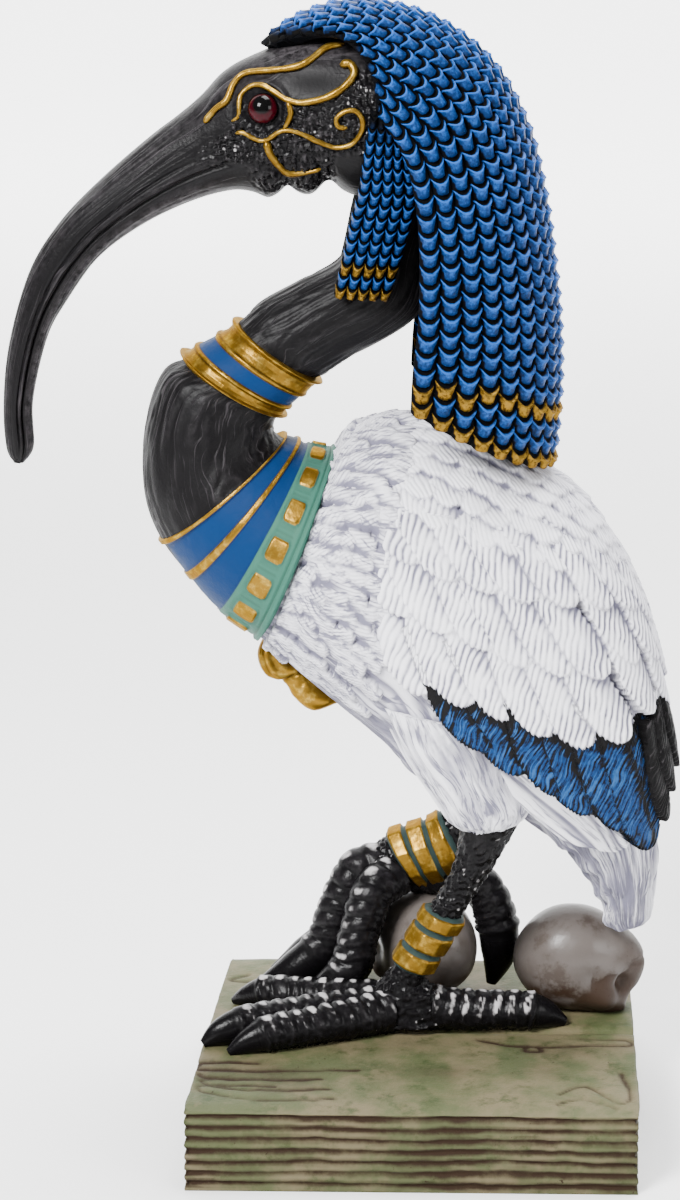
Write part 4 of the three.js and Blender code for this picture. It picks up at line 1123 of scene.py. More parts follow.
def wing_feathers(side, seed):
    """Tips of a wing's feathers, laid along its tier edges at each tier's pitch."""
    draw = np.random.default_rng(seed)
    feathers = []
    fine = np.linspace(0, 4, 200)
    edges = [spline(edge, fine) for edge in TIER_EDGES]
    share_of = np.linspace(0, 1, 200)
    for row in range(SCALE_ROWS):
        down = (row + 1) / SCALE_ROWS
        line = edges[0] + (edges[1] - edges[0]) * down
        for place in evenly(wing_point(line[:, 0], line[:, 1], side), SCALE_PITCH, 0.25 + 0.5 * (row % 2)):
            tip = wing_point(*(np.interp(place, share_of, line[:, k]) for k in range(2)), side)
            jitter = draw.normal(0, 1, 4)
            heading = sloping(30 + 16 * down + 7 * jitter[0])
            size = (8.5 + 0.8 * jitter[1], 6.8 + 0.5 * jitter[2], 0.75 + 0.12 * jitter[3])
            feathers.append((tip, heading, *size, 0.0, 0.0, SCALE_VANE))
    for tier, (pitch, length, width, rise) in enumerate(TIERS):
        line = edges[tier + 2]
        blue = float(tier == len(TIERS) - 1)
        for place in evenly(wing_point(line[:, 0], line[:, 1], side), pitch, 0.2 + 0.5 * (tier % 2)):
            t, down = (np.interp(place, share_of, line[:, k]) for k in range(2))
            tip = wing_point(t, np.minimum(down + 0.012, 1.04), side)
            jitter = draw.normal(0, 1, 4)
            heading = sloping((70 if blue else 64 - 11 * place) + 3 * jitter[0])
            size = (length + jitter[1], width + 0.4 * jitter[2], rise + 0.1 * jitter[3])
            feathers.append((tip, heading, *size, blue, 0.0, BLUE_VANE if blue else WHITE_VANE))
    for k, (t, down) in enumerate(QUILL_TIPS):
        tip = wing_point(np.array(t), np.array(down), side)
        feathers.append((tip, sloping(QUILL_SLOPE), *QUILL_SIZE, 2.0 - 0.2 * k, 1.0, 1.6, BLUE_VANE))
    return feathers


def wing_skin(side, rows, columns, seed):
    """A grid over one wing, from just past the ridge to below its lower edge, raised by its feathers."""
    t, share = np.linspace(0, len(WINGS) - 1, rows), np.linspace(0, 1, columns)
    t, share = np.meshgrid(t, share, indexing="ij")
    share = np.interp(t, (4.4, 6.0), (1.08, 0.95)) * share - 0.02
    points = wing_point(t, share, side)
    inward = np.stack([0 * t, -side * np.ones_like(t), 0 * t], axis=-1)
    normal = np.cross(np.gradient(points, axis=0), np.gradient(points, axis=1))
    normal /= np.maximum(np.linalg.norm(normal, axis=-1, keepdims=True), 1e-9)
    if (normal * inward).sum() > 0:
        normal = -normal
    height, layers = feathered(points, normal, wing_feathers(side, seed))
    border = np.array(WING_BORDER)
    outside = np.clip((share - np.interp(t, border[:, 0], border[:, 1])) / 0.03, 0, 1)
    bare = height <= BARE
    stroke = streaks(t * 0.5, share * 1.5, 90, seed + 5)
    height = np.where(bare, BARE + (UNDER_WING - BARE) * outside + STREAK_RELIEF * stroke, height)
    layers["hollow"] = np.where(bare, np.clip(0.35 - 0.7 * stroke, 0, 1), layers["hollow"])
    white_edge = np.array(TIER_EDGES[-2])
    below = share - np.interp(t, white_edge[:, 0], white_edge[:, 1])
    dyed = bare & (below > 0) & (outside < 0.5) & (t > BLUE_START)
    layers["blue"] = np.where(dyed, 1.0, layers["blue"] * (below > -BLUE_REACH))
    # Painted shadow: the blue tier turns black just below the white tier's edge.
    layers["black"] = layers["black"] + layers["blue"] * np.clip(1.3 - below / 0.045, 0, 1)
    layers["hair_x"] = np.where(bare, 60 * share, layers["hair_x"])
    layers["hair_z"] = np.where(bare, 1.3 * t, layers["hair_z"])
    made, away = skirted(points + normal * height[..., None], normal)
    layers = {key: np.pad(value, 1, mode="edge") for key, value in layers.items()}
    high = np.pad(np.clip(1.2 - share * 2, 0, 1), 1, mode="edge")
    return sheet(made, away, high=high, **layers)


piece("near_wing", [wing_skin(-1, *NEAR_WING_GRID, 81)], plumage_paint)
piece("far_wing", [wing_skin(1, *FAR_WING_GRID, 82)], plumage_paint)


def mantle_skin():
    """The body's loft from the collar to the shoulders, raised by small feathers in staggered rings."""
    points, place, angle = loft(BODY, np.linspace(*MANTLE_SPAN, MANTLE_ROWS), MANTLE_COLUMNS)
    normal = outward(points, True)
    flow = np.gradient(points, axis=0)
    flow = flow / np.linalg.norm(flow, axis=-1, keepdims=True)
    draw = np.random.default_rng(83)
    feathers = []
    rings = np.arange(MANTLE_SPAN[0] + 0.3, MANTLE_SPAN[1] - 0.3, MANTLE_RING_STEP)
    for ring, t in enumerate(rings):
        row = int(round((t - MANTLE_SPAN[0]) / (MANTLE_SPAN[1] - MANTLE_SPAN[0]) * (MANTLE_ROWS - 1)))
        for share in evenly(points[row], MANTLE_PITCH, 0.5 * (ring % 2)):
            column = int(share * (MANTLE_COLUMNS - 1))
            tip = points[row, column] + 0.7 * draw.normal(0, 1, 3)
            if tip[2] < 86.0 - 0.45 * (tip[0] + 30) or tip[0] > 4.0 - 0.06 * (140 - tip[2]):
                continue
            heading = flow[row, column] + 0.25 * draw.normal(0, 1, 3)
            size = (8.0 + draw.normal(0, 0.8), 5.4 + draw.normal(0, 0.5), 0.8 + 0.15 * draw.normal())
            feathers.append((tip, heading, *size, 0.0, 0.0, MANTLE_VANE))
    height, layers = feathered(points, normal, feathers)
    height = height - COLLAR_TUCK * np.clip((1.12 - place) / 0.12, 0, 1)
    made = points + normal * height[..., None]
    layers.update(hair_places(place, angle, 30.0, 2.6))
    return tube(made, high=0 * height + 1.0, **layers)


piece("mantle", [mantle_skin()], plumage_paint)


# Neck
# The bird's neck, painted black and scored along its length with short hair-like strokes.
NECK_ROWS = 150
NECK_COLUMNS = 160
NECK_RELIEF = 0.2
NECK = (
    (-11.0, 200.0, 6.5, 197.0, 8.5),
    (-12.4, 187.5, 4.6, 180.0, 9.4),
    (-16.2, 176.5, 0.8, 164.0, 9.8),
    (-25.3, 170.9, -15.0, 153.8, 9.8),
    (-33.6, 166.3, -19.6, 150.6, 10.2),
    (-39.0, 161.2, -22.8, 149.0, 10.4),
    (-48.6, 154.0, -29.2, 142.4, 11.6),
    (-55.3, 150.5, -31.1, 139.0, 12.6),
    (-59.4, 138.6, -31.1, 137.6, 13.6),
    (-59.7, 123.9, -30.4, 136.3, 15.2),
    (-56.0, 113.2, -28.7, 135.4, 17.0),
    (-49.9, 105.0, -25.8, 134.7, 19.0),
    (-43.8, 97.9, -24.1, 133.8, 20.5),
)


def neck_skin():
    """The neck's loft with strokes along it."""
    points, place, angle = loft(NECK, np.linspace(0, len(NECK) - 1, NECK_ROWS), NECK_COLUMNS)
    stroke = streaks(place * 0.9, angle, 46, 90)
    relief = NECK_RELIEF * stroke
    made = points + outward(points, True) * relief[..., None]
    dusty = np.clip(0.3 * stroke, 0, 1)
    return tube(made, dusty=dusty, haired=0.65 + 0 * place, **hair_places(place, angle, 18.0, 0.7))


piece("neck", [neck_skin()], black_finish("dull_skin", 0.43))


# Neck bangle
# A cuff cast round the neck: flared rims, a hollow gold band inside each, and a blue band between raised
# lines.
BANGLE_ROWS = 96
BANGLE_COLUMNS = 110
VERDIGRIS = (0.031, 0.107, 0.080)
BAND_BLUE = (0.0013, 0.0205, 0.080)
BANGLE_BLUE_SPAN = 0.12
BANGLE = (
    (-38.2, 161.4, -21.8, 149.8, 10.6),
    (-40.4, 159.6, -23.0, 148.2, 10.8),
    (-43.6, 157.6, -25.6, 146.2, 11.2),
    (-46.6, 156.0, -27.6, 144.4, 11.6),
    (-49.4, 154.4, -29.4, 142.6, 12.0),
    (-50.8, 153.6, -30.0, 141.4, 12.2),
)

# Share of the way along half the bangle, from its rim to its middle, and how far it stands off the neck
BANGLE_PROFILE = (
    (0.00, -1.0),
    (0.012, 0.9),
    (0.03, 1.7),
    (0.06, 2.0),
    (0.09, 1.7),
    (0.13, 0.9),
    (0.22, 0.7),
    (0.30, 0.95),
    (0.335, 1.45),
    (0.365, 1.35),
    (0.38, 0.8),
    (0.50, 0.85),
)


def bangle_skin():
    """The neck's loft under the bangle, stood off by the profile from each rim."""
    last = len(BANGLE) - 1
    points, place, _ = loft(BANGLE, np.linspace(0, last, BANGLE_ROWS), BANGLE_COLUMNS)
    share = 0.5 - np.abs(place / last - 0.5)
    profile = np.array(BANGLE_PROFILE)
    rise = np.interp(share, profile[:, 0], profile[:, 1]) + 0.06 * swings(points / 2.5, 91)
    band = share > 0.5 - BANGLE_BLUE_SPAN
    hollow = falloff(share - 0.18, 0.08) * 0.4 + falloff(share - 0.32, 0.012) + falloff(share - 0.382, 0.01)
    made = points + outward(points, True) * rise[..., None]
    return tube(made, gold=1.0 - band, band=1.0 * band, hollow=np.clip(hollow, 0, 1))


gold_and_bands = gold_finish("gold_and_bands", VERDIGRIS, BAND_BLUE)
piece("bangle", [bangle_skin()], gold_and_bands)


# Broad collar
# A cast collar at the root of the neck: a gold rim, two blue bands parted by a gold line, and a verdigris
# border with square gold plates set round it.
COLLAR_ROWS = 102
COLLAR_COLUMNS = 254
COLLAR_SQUARES = 15
SQUARE_HALF_ANGLE = 0.13
SQUARE_MIDDLE = 2.43
SQUARE_HALF_SPAN = 0.21
COLLAR = (
    (-55.6, 114.2, -28.9, 135.2, 17.0),
    (-49.5, 106.0, -26.0, 134.3, 19.3),
    (-43.4, 98.9, -24.3, 133.2, 21.0),
    (-33.8, 92.1, -17.7, 131.8, 23.5),
)


def collar_skin():
    """The collar's loft with steps for its rim, line, border, plates and the lines cut round them."""
    points, place, angle = loft(COLLAR, np.linspace(0, len(COLLAR) - 1, COLLAR_ROWS), COLLAR_COLUMNS)
    pitch = 2 * math.pi / COLLAR_SQUARES
    turned = (angle + pitch / 2) % pitch - pitch / 2
    rim = np.clip((0.2 - place) / 0.05, 0, 1)
    line = np.clip((0.14 - np.abs(place - 1)) / 0.05, 0, 1)
    border = np.clip((place - 2.02) / 0.05, 0, 1)
    across = np.abs(place - SQUARE_MIDDLE) / SQUARE_HALF_SPAN
    around = np.abs(turned) / SQUARE_HALF_ANGLE
    rounded = (across**5 + around**5) ** 0.2
    plate = np.clip((1.0 - rounded) / 0.1, 0, 1)
    moat = falloff(rounded - 1.08, 0.09)
    bridge = falloff(np.abs(turned) - 0.178, 0.014) * np.clip((1.05 - across) / 0.1, 0, 1)
    ring = falloff(place - 2.79, 0.016) + falloff(place - 2.06, 0.02)
    outer_rim = np.clip((place - 2.8) / 0.04, 0, 1)
    cut = np.clip(0.8 * bridge + ring + 0.7 * moat, 0, 1)
    rise = 0.9 + 0.75 * rim + 0.5 * line + 0.45 * border + 0.55 * plate + 0.6 * outer_rim - 0.35 * cut
    tuck = np.clip(0.02 - place, 0, 1) / 0.02 + np.clip(place - 2.98, 0, 1) / 0.02
    rise = rise - 2.4 * tuck + 0.07 * swings(points / 2.2, 92)
    edge = falloff(place - 0.22, 0.02) + falloff(np.abs(place - 1) - 0.155, 0.02)
    gold = np.maximum(np.maximum(rim, line), plate)
    made = points + outward(points, True) * rise[..., None]
    return tube(made, gold=gold, band=1.0 * (place < 2.05), hollow=np.clip(0.55 * cut + 0.6 * edge, 0, 1))


piece("collar", [collar_skin()], gold_and_bands)


# Beetle
# A gold scarab cast on the breast under the collar: a ridged head, a waist, and a smooth wing-case parted
# down its middle.
BEETLE_ROWS = 90
BEETLE_COLUMNS = 84
SCARAB = (
    (-33.4, 91.0, -30.0, 92.5, 2.0),
    (-35.0, 86.6, -28.0, 90.0, 4.4),
    (-33.4, 82.0, -25.6, 86.5, 5.2),
    (-29.0, 80.0, -23.0, 84.0, 4.6),
    (-26.8, 76.6, -20.6, 81.0, 5.6),
    (-22.9, 73.8, -17.6, 79.0, 5.4),
    (-18.0, 75.2, -15.6, 77.6, 3.0),
)


def beetle_skin():
    """The scarab's loft with ridges on its head, a cut round its waist and another down its wing-case."""
    points, place, angle = loft(SCARAB, np.linspace(0, len(SCARAB) - 1, BEETLE_ROWS), BEETLE_COLUMNS)
    head = np.clip((2.3 - place) / 0.4, 0, 1) * np.clip((place - 0.15) / 0.3, 0, 1)
    ridges = np.cos(angle * 11) * head * falloff(np.abs(angle) - 1.25, 0.75)
    waist = falloff(place - 2.75, 0.13)
    parting = falloff(angle, 0.05) * np.clip((place - 2.9) / 0.2, 0, 1)
    relief = 0.3 * ridges - 0.4 * waist - 0.3 * parting + 0.06 * swings(points / 1.5, 93)
    hollow = np.clip(0.5 - 0.5 * ridges, 0, 1) * head * 0.7 + 0.7 * waist + 0.8 * parting
    made = points + outward(points, True) * relief[..., None]
    return tube(made, gold=0 * place + 1, hollow=np.clip(hollow, 0, 1))


piece("beetle", [beetle_skin()], gold_and_teal)


# Head and beak
# Cast with the bird and painted black: a smooth curved beak with a mouth line, pebbled cheeks and chin, a
# smooth brow and lumps under the jaw.
HEAD_COLUMNS = 250
BEAK_ROWS = 56
FACE_ROWS = 160
CROWN_ROWS = 10
FACE_START = 7.2
FACE_END = 12.8
HEAD_CROWD = 0.22
MOUTH_ANGLE = 1.97
UPPER_LINE_ANGLE = 1.62
MOUTH_END = 8.7
FACE_PEBBLE = 1.15
FACE_RELIEF = 0.9
EYE_AT = (-32.5, 209.3)
EYE_OFFSET = 11.2
EYE_RADIUS = 3.4
SOCKET_AT = (-21.5, 215.2)
CROWN_X = -23.0
CROWN_TURN = 0.43
JAW_LUMPS = ((-32.0, 1.1, 2.0), (-27.7, -1.3, 1.4), (-23.3, 1.0, 2.2), (-18.9, -1.5, 1.8), (-14.0, 0.4, 2.6))
BEAK_AND_HEAD = (
    (-88.5, 130.1, -86.3, 130.1, 1.2),
    (-90.2, 133.9, -84.0, 134.0, 2.6),
    (-90.4, 144.1, -84.0, 144.1, 3.2),
    (-88.7, 157.4, -80.6, 157.9, 3.8),
    (-83.9, 172.9, -76.3, 165.9, 4.5),
    (-77.2, 183.4, -69.1, 175.6, 5.2),
    (-68.4, 192.5, -59.9, 182.6, 6.0),
    (-57.4, 202.0, -49.4, 187.8, 7.4),
    (-47.4, 209.8, -39.9, 190.5, 9.4),
    (-41.2, 216.2, -33.4, 190.1, 11.2),
    (-33.2, 220.4, -25.2, 190.5, 13.2),
    (-25.1, 223.4, -18.7, 191.4, 14.6),
    (-14.5, 225.1, -12.3, 189.7, 15.5),
    (-3.8, 224.7, -5.8, 188.4, 15.5),
    (4.7, 220.5, 0.7, 188.4, 13.5),
    (10.1, 212.1, 4.9, 192.8, 8.0),
)

# Top of the pebbled skin in side view, from the corner of the mouth to the wig
PEBBLE_TOP = (
    (-48.0, 199.5),
    (-44.0, 202.5),
    (-39.5, 205.0),
    (-37.3, 211.0),
    (-34.0, 213.6),
    (-27.0, 211.3),
    (-19.4, 211.9),
    (-15.6, 214.0),
    (-12.0, 217.5),
    (-9.0, 219.5),
)


def head_base():
    """The loft of beak and head, with rows closest together on the face, and its normals."""
    beak = np.linspace(0, FACE_START, BEAK_ROWS)
    face = np.linspace(FACE_START, FACE_END, FACE_ROWS)[1:]
    crown = np.linspace(FACE_END, len(BEAK_AND_HEAD) - 1, CROWN_ROWS)[1:]
    places = np.concatenate([beak, face, crown])
    points, place, angle = loft(BEAK_AND_HEAD, places, HEAD_COLUMNS, HEAD_CROWD)
    return points, place, angle, outward(points, True)


def head_skin(points, place, angle, normal):
    """Lines along the beak, pebbles below the brow, jaw lumps, a bowl round each eye and a matt hollow
    behind it. The pebble tops take painted grey highlights, and the brow and the crown a painted grey sheen."""
    turn = np.abs(angle)
    on_beak = np.clip((8.3 - place) / 1.2, 0, 1)
    mouth = falloff(turn - MOUTH_ANGLE, 0.055) * np.clip((MOUTH_END - place) / 0.5, 0, 1)
    mouth = mouth * np.clip(place / 1.5, 0, 1)
    upper = falloff(turn - UPPER_LINE_ANGLE, 0.05) * on_beak * np.clip(place - 0.5, 0, 1)
    lip = falloff(turn - MOUTH_ANGLE + 0.17, 0.09) * on_beak
    grain = streaks(place * 0.5, angle, 26, 94) * on_beak
    tops = np.array(PEBBLE_TOP)
    below = np.clip((np.interp(points[..., 0], tops[:, 0], tops[:, 1]) - points[..., 2]) / 0.8, 0, 1)
    cheek = np.clip((place - 7.5) / 0.9, 0, 1) * below
    jaw = np.clip((place - 8.8) / 0.5, 0, 1)
    cheek = cheek * np.where(turn > MOUTH_ANGLE, jaw, 1.0) * np.clip((2.85 - turn) / 0.15, 0, 1)
    cheek = cheek * np.clip(np.maximum(-17 - points[..., 0], points[..., 2] - 199.5), 0, 1)
    eye_gap = np.hypot(points[..., 0] - EYE_AT[0], points[..., 2] - EYE_AT[1])
    eye_gap = np.where(place > 7, eye_gap, 99.0)
    bowl = np.clip((5.0 - eye_gap) / 1.4, 0, 1)
    cheek = cheek * (1 - bowl)
    pebble = pebbled(points, FACE_PEBBLE, 95)
    relief = FACE_RELIEF * (pebble - 0.5) * cheek - 0.8 * mouth - 0.4 * upper + 0.25 * lip + 0.1 * grain
    relief = relief - 0.9 * bowl + 0.35 * falloff(eye_gap - 5.4, 0.7)
    socket = falloff(np.hypot((points[..., 0] - SOCKET_AT[0]) / 2.6, points[..., 2] - SOCKET_AT[1]), 2.3)
    relief = relief - 0.35 * socket * (place > 7)
    underneath = falloff(turn - math.pi, 0.8)
    for x, rise, reach in JAW_LUMPS:
        relief = relief + rise * falloff(points[..., 0] - x, reach) * underneath
    relief = relief + 0.12 * swings(points / 4, 96) * np.clip(place - 7, 0, 1)
    chance = scatter(np.floor(points / 1.1).astype(np.int64), 97)
    # Grey on the pebble tops is painted highlight; grey on the lip and the lower mandible is paint.
    dusty = (0.05 + 0.8 * chance**2) * pebble**2 * cheek + 0.2 * lip * (1 - cheek)
    dusty = dusty + 2.4 * np.clip(turn - MOUTH_ANGLE - 0.1, 0, 0.6) * on_beak * (1 - cheek)
    # Painted highlight: a grey sheen on the brow and a stronger one on the crown.
    sheen = 0.3 * falloff(turn - 0.7, 0.35)
    sheen = sheen + 1.1 * falloff(turn - CROWN_TURN, 0.25) * falloff(points[..., 0] - CROWN_X, 9.0)
    dusty = dusty + sheen * (1 - cheek) * (1 - socket)
    made = points + normal * relief[..., None]
    hair = hair_places(place, angle, 9.0, 0.6)
    haired = (0.35 + 0.25 * on_beak) * (1 - cheek) * (1 - bowl)
    # Painted glints on the pebbles of the cheeks.
    dab = glints(points, pebble, 99) * cheek
    wet = 1.2 * pebble * cheek - 1.6 * socket * (place > 7) * (1 - cheek)
    return tube(made, dusty=np.clip(dusty, 0, 1), dab=dab, wet=wet, haired=haired, **hair)


head_points, head_place, head_angle, head_normal = head_base()
head = head_skin(head_points, head_place, head_angle, head_normal)
piece("head_and_beak", [head], black_skin)


# Eyes
# Glossy red domes with a black pupil, set in the bowls of the face.
EYE_RINGS = 26
EYE_COLUMNS = 36
PUPIL_TURN = 0.66
PUPIL_RISE = 0.32
IRIS_TURN = 1.08
EYE_RED = (0.026, 0.0005, 0.0030)
EYE_BLACK = (0.002, 0.002, 0.002)


def eye_skin(side):
    """A ball whose rings run round a line that points out of the face; each keeps its turn from it."""
    turn = np.linspace(0.02, 2.2, EYE_RINGS)
    around = np.linspace(0, 2 * math.pi, EYE_COLUMNS, endpoint=False)
    turn, around = np.meshgrid(turn, around, indexing="ij")
    out = np.array([-0.06, side * 0.98, 0.14])
    out = out / np.linalg.norm(out)
    level = np.array([1.0, 0.0, 0.0]) - out * out[0]
    level = level / np.linalg.norm(level)
    up = np.cross(out, level)
    spoke = np.cos(around)[..., None] * level + np.sin(around)[..., None] * up
    ray = np.cos(turn)[..., None] * out + np.sin(turn)[..., None] * spoke
    raised = out * math.cos(PUPIL_RISE) + np.array([0.0, 0.0, math.sin(PUPIL_RISE)])
    from_pupil = np.arccos(np.clip(ray @ (raised / np.linalg.norm(raised)), -1, 1))
    centre = np.array([EYE_AT[0], side * EYE_OFFSET, EYE_AT[1]])
    return tube(EYE_RADIUS * ray + centre, turn=turn, from_pupil=from_pupil)


def eye_finish():
    """Deep red between a black pupil and a black rim, under clear gloss."""
    finish = Finish("eye_paint")
    turn = finish.value("turn")
    iris = finish.value("from_pupil").between(PUPIL_TURN - 0.14, PUPIL_TURN + 0.14)
    iris = iris * turn.between(IRIS_TURN + 0.12, IRIS_TURN - 0.1)
    colour = finish.blend(EYE_BLACK, EYE_RED, iris * (0.6 + 0.6 * finish.cloud(1.2, 3)))
    return finish.shade(Base_Color=colour, Roughness=0.08, Specular_IOR_Level=0.1)


piece("eyes", [eye_skin(-1), eye_skin(1)], eye_finish())


# Gold lines of the face
# Raised lines cast on each side of the head and painted gold: brow, lid with a hook, cheek with a curl, drop
# and strut. They follow the skin of the head.
LINE_STEPS = 9
LINE_SIDES = 8
LINE_TAPER = 1.0
LINE_STAND_OFF = 0.3

# Half widths of each line at its two ends, and its run of points [x, z] in side view
GOLD_LINES = (
    (
        (0.7, 0.8),
        (-45.1, 205.8),
        (-42.6, 208.7),
        (-40.2, 210.6),
        (-38.7, 214.0),
        (-36.2, 216.1),
        (-30.9, 216.9),
        (-25.7, 217.8),
        (-22.6, 219.2),
        (-19.2, 221.6),
        (-15.4, 222.4),
    ),
    (
        (0.46, 0.98),
        (-39.2, 206.6),
        (-37.7, 207.7),
        (-37.3, 211.5),
        (-35.2, 213.6),
        (-32.6, 214.0),
        (-29.9, 212.7),
        (-27.2, 211.3),
        (-24.0, 210.9),
        (-19.4, 211.9),
        (-15.6, 214.0),
        (-13.3, 216.8),
        (-14.2, 218.6),
        (-16.3, 218.4),
    ),
    (
        (0.55, 0.6),
        (-38.4, 204.1),
        (-36.7, 204.3),
        (-34.2, 203.1),
        (-31.9, 202.9),
        (-28.3, 205.0),
        (-24.7, 204.6),
        (-20.9, 202.9),
        (-17.1, 201.7),
        (-13.7, 202.5),
        (-11.6, 205.3),
        (-11.6, 207.8),
        (-13.1, 209.4),
        (-15.2, 209.2),
        (-16.9, 207.8),
        (-16.5, 206.1),
        (-14.6, 205.9),
    ),
    (
        (0.85, 0.5),
        (-31.9, 202.9),
        (-31.0, 199.9),
        (-29.1, 197.2),
        (-27.3, 195.7),
        (-23.7, 195.9),
        (-20.3, 196.8),
    ),
    ((0.7, 0.5), (-27.2, 211.3), (-26.6, 208.4), (-28.1, 205.2)),
)


def line_skin(halves, run, side):
    """A rounded bar along a run of points: each point goes to the mean of the four points of the head's
    skin nearest to it in side view, and its section is an ellipse across the skin, tapered at both ends."""
    middle = spline(run, np.linspace(0, len(run) - 1, LINE_STEPS * len(run)))
    here = (head_points[..., 1] * side > 0) & (head_place > 6.5)
    flat, facing = head_points[here], head_normal[here]
    gap = np.hypot(flat[None, :, 0] - middle[:, None, 0], flat[None, :, 2] - middle[:, None, 1])
    nearest = np.argpartition(gap, 4, axis=1)[:, :4]
    y, facing = flat[nearest, 1].mean(axis=1), facing[nearest].mean(axis=1)
    kernel = np.ones(9) / 9
    y = np.convolve(np.pad(y, 4, mode="edge"), kernel, mode="valid")
    facing = facing / np.linalg.norm(facing, axis=1, keepdims=True)
    centre = np.stack([middle[:, 0], y, middle[:, 1]], axis=-1)
    ahead = np.gradient(centre, axis=0)
    across = np.cross(ahead, facing)
    across = across / np.linalg.norm(across, axis=1, keepdims=True)
    length = np.concatenate([[0], np.cumsum(np.linalg.norm(np.diff(centre, axis=0), axis=1))])
    taper = np.sqrt(np.clip(np.minimum(length, length[-1] - length) / LINE_TAPER + 0.06, 0, 1))
    width = np.interp(length, (0, length[-1]), halves) * taper * (1 + 0.16 * swings(centre / 1.8, 98))
    turn = np.linspace(0, 2 * math.pi, LINE_SIDES, endpoint=False)
    ring = np.cos(turn)[None, :, None] * (across * width[:, None])[:, None]
    ring = ring + np.sin(turn)[None, :, None] * (facing * width[:, None] * 1.15)[:, None]
    made = centre[:, None] + facing[:, None] * LINE_STAND_OFF + ring
    upward = np.cos(turn) * across[:, 2:] + np.sin(turn) * facing[:, 2:]
    # Painted highlight on the upper side of each line and painted shade on its underside.
    light, hollow = np.clip(0.6 * upward - 0.15, 0, 1), np.clip(0.15 - 1.3 * upward, 0, 1)
    return tube(made, gold=np.ones(made.shape[:2]), light=light, hollow=hollow)


lines = [line_skin(halves, run, side) for halves, *run in GOLD_LINES for side in (-1, 1)]
piece("face_lines", lines, gold_and_teal)


# Wig
# A heavy wig of strung cup beads, cast over the head and hanging behind the neck. Each bead narrows to its
# foot, and its upper rim dips in the middle under a hollow painted black as shade. It is painted blue with
# two gold rows, and painted highlights on the rims.
STRANDS = 19
BEAD_PITCH = 3.6
BEAD_RISE = 1.55
BEAD_DIP = 0.5
BEAD_FOOT_DIP = 0.13
BEAD_FOOT_TURN = 0.38
BEAD_BASE = -0.75
STRAND_EDGE = -1.7
STRAND_PLACES = np.array([-1.0, -0.93, -0.75, -0.5, -0.2, 0.2, 0.5, 0.75, 0.93, 1.0])
WIG_LINING = -1.2
LINING_REACH = 0.965
WIG_THICKNESS = 4.0
STRAND_END = -3.2
WIG_BLUE = (0.0018, 0.018, 0.074)
WIG_LIGHT = (0.012, 0.078, 0.310)
WIG_BLACK = (0.0008, 0.0014, 0.003)
WIG = (
    (-33.8, 221.9, -9.7, 232.3, -8.4, 208.5, 17.0),
    (-25.0, 228.0, -6.9, 230.0, -7.1, 207.0, 19.0),
    (-12.3, 231.0, -2.7, 224.0, -5.4, 204.7, 20.5),
    (2.6, 227.8, 4.7, 215.0, -3.7, 202.0, 21.5),
    (15.4, 218.7, 10.0, 206.5, -2.0, 198.2, 22.5),
    (23.3, 205.5, 13.2, 197.0, -0.7, 192.8, 23.5),
    (27.2, 191.7, 14.3, 188.6, 0.2, 186.2, 24.5),
    (29.6, 176.8, 15.4, 175.8, 0.6, 177.5, 25.5),
    (31.2, 161.9, 15.9, 163.0, 0.4, 166.6, 26.5),
    (31.5, 146.9, 15.5, 150.2, -0.7, 155.7, 27.5),
    (30.4, 130.6, 13.5, 137.6, -1.1, 147.6, 28.0),
)
WIG_LAST = len(WIG) - 1

# Rows of one bead from its foot up: share of the foot-to-rim step, share of the rim-to-next-foot step,
# height, width, black (painted shade) and light (painted highlight)
BEAD_ROWS = (
    (0.0, 0.0, 0.56, 0.64, 0.4, 0.0),
    (0.30, 0.0, 0.68, 0.71, 0.0, 0.1),
    (0.60, 0.0, 0.80, 0.82, 0.0, 0.38),
    (0.84, 0.0, 0.96, 0.94, 0.0, 0.5),
    (0.96, 0.0, 1.16, 1.02, 0.0, 1.4),
    (1.0, 0.10, 1.00, 1.02, 0.1, 0.8),
    (1.0, 0.28, 0.20, 0.98, 1.0, 0.0),
    (1.0, 0.90, 0.08, 0.75, 1.0, 0.0),
)

# Number of the upper gold bead on each strand, counted up from the hem, from the front strand to the back
GOLD_BEADS = (1, 2, 2, 3, 3, 3, 3, 3, 3, 3)


def wig_point(t, turn, side, lift):
    """A point on the wig's section at a turn from the back's middle: with s = 1 - cos(turn), the curve
    (1-s)^2 outer + 2s(1-s) bow + s^2 front in side view, and sin(turn) half widths out, stood off by lift."""
    xo, zo, xk, zk, xf, zf, half = np.moveaxis(spline(WIG, t), -1, 0)
    s = 1 - np.cos(turn)
    reach = np.hypot(xo - xf, zo - zf)
    x = (1 - s) ** 2 * xo + 2 * s * (1 - s) * xk + s**2 * xf + lift * np.cos(turn) * (xo - xf) / reach
    z = (1 - s) ** 2 * zo + 2 * s * (1 - s) * zk + s**2 * zf + lift * np.cos(turn) * (zo - zf) / reach
    return np.stack([x, side * (half + lift) * np.sin(turn), z], axis=-1)


def wig_turns():
    """For ten rows to each step of the table, the turn at which each sixtieth of the half row's length is
    reached."""
    t, turn = np.linspace(0, WIG_LAST, 10 * WIG_LAST + 1), np.linspace(0, math.pi / 2, 121)
    t, turn = np.meshgrid(t, turn, indexing="ij")
    steps = np.linalg.norm(np.diff(wig_point(t, turn, 1, 0), axis=1), axis=-1)
    run = np.pad(np.cumsum(steps, axis=1), ((0, 0), (1, 0)))
    return np.stack([np.interp(np.linspace(0, row[-1], 61), row, turn[0]) for row in run])


turns = wig_turns()


def wig_surface(t, share, lift):
    """A point on the wig by its share of the half row's length, from the back's middle; the near side is
    negative. The turn is blended from the four nearest entries of the table of turns."""
    row = np.clip(10 * t, 0, 10 * WIG_LAST - 0.001)
    column = np.clip(60 * np.abs(share), 0, 59.999)
    i, j = row.astype(int), column.astype(int)
    a, b = row - i, column - j
    turn = (1 - a) * ((1 - b) * turns[i, j] + b * turns[i, j + 1])
    turn = turn + a * ((1 - b) * turns[i + 1, j] + b * turns[i + 1, j + 1])
    return wig_point(t, turn, np.sign(share), lift)


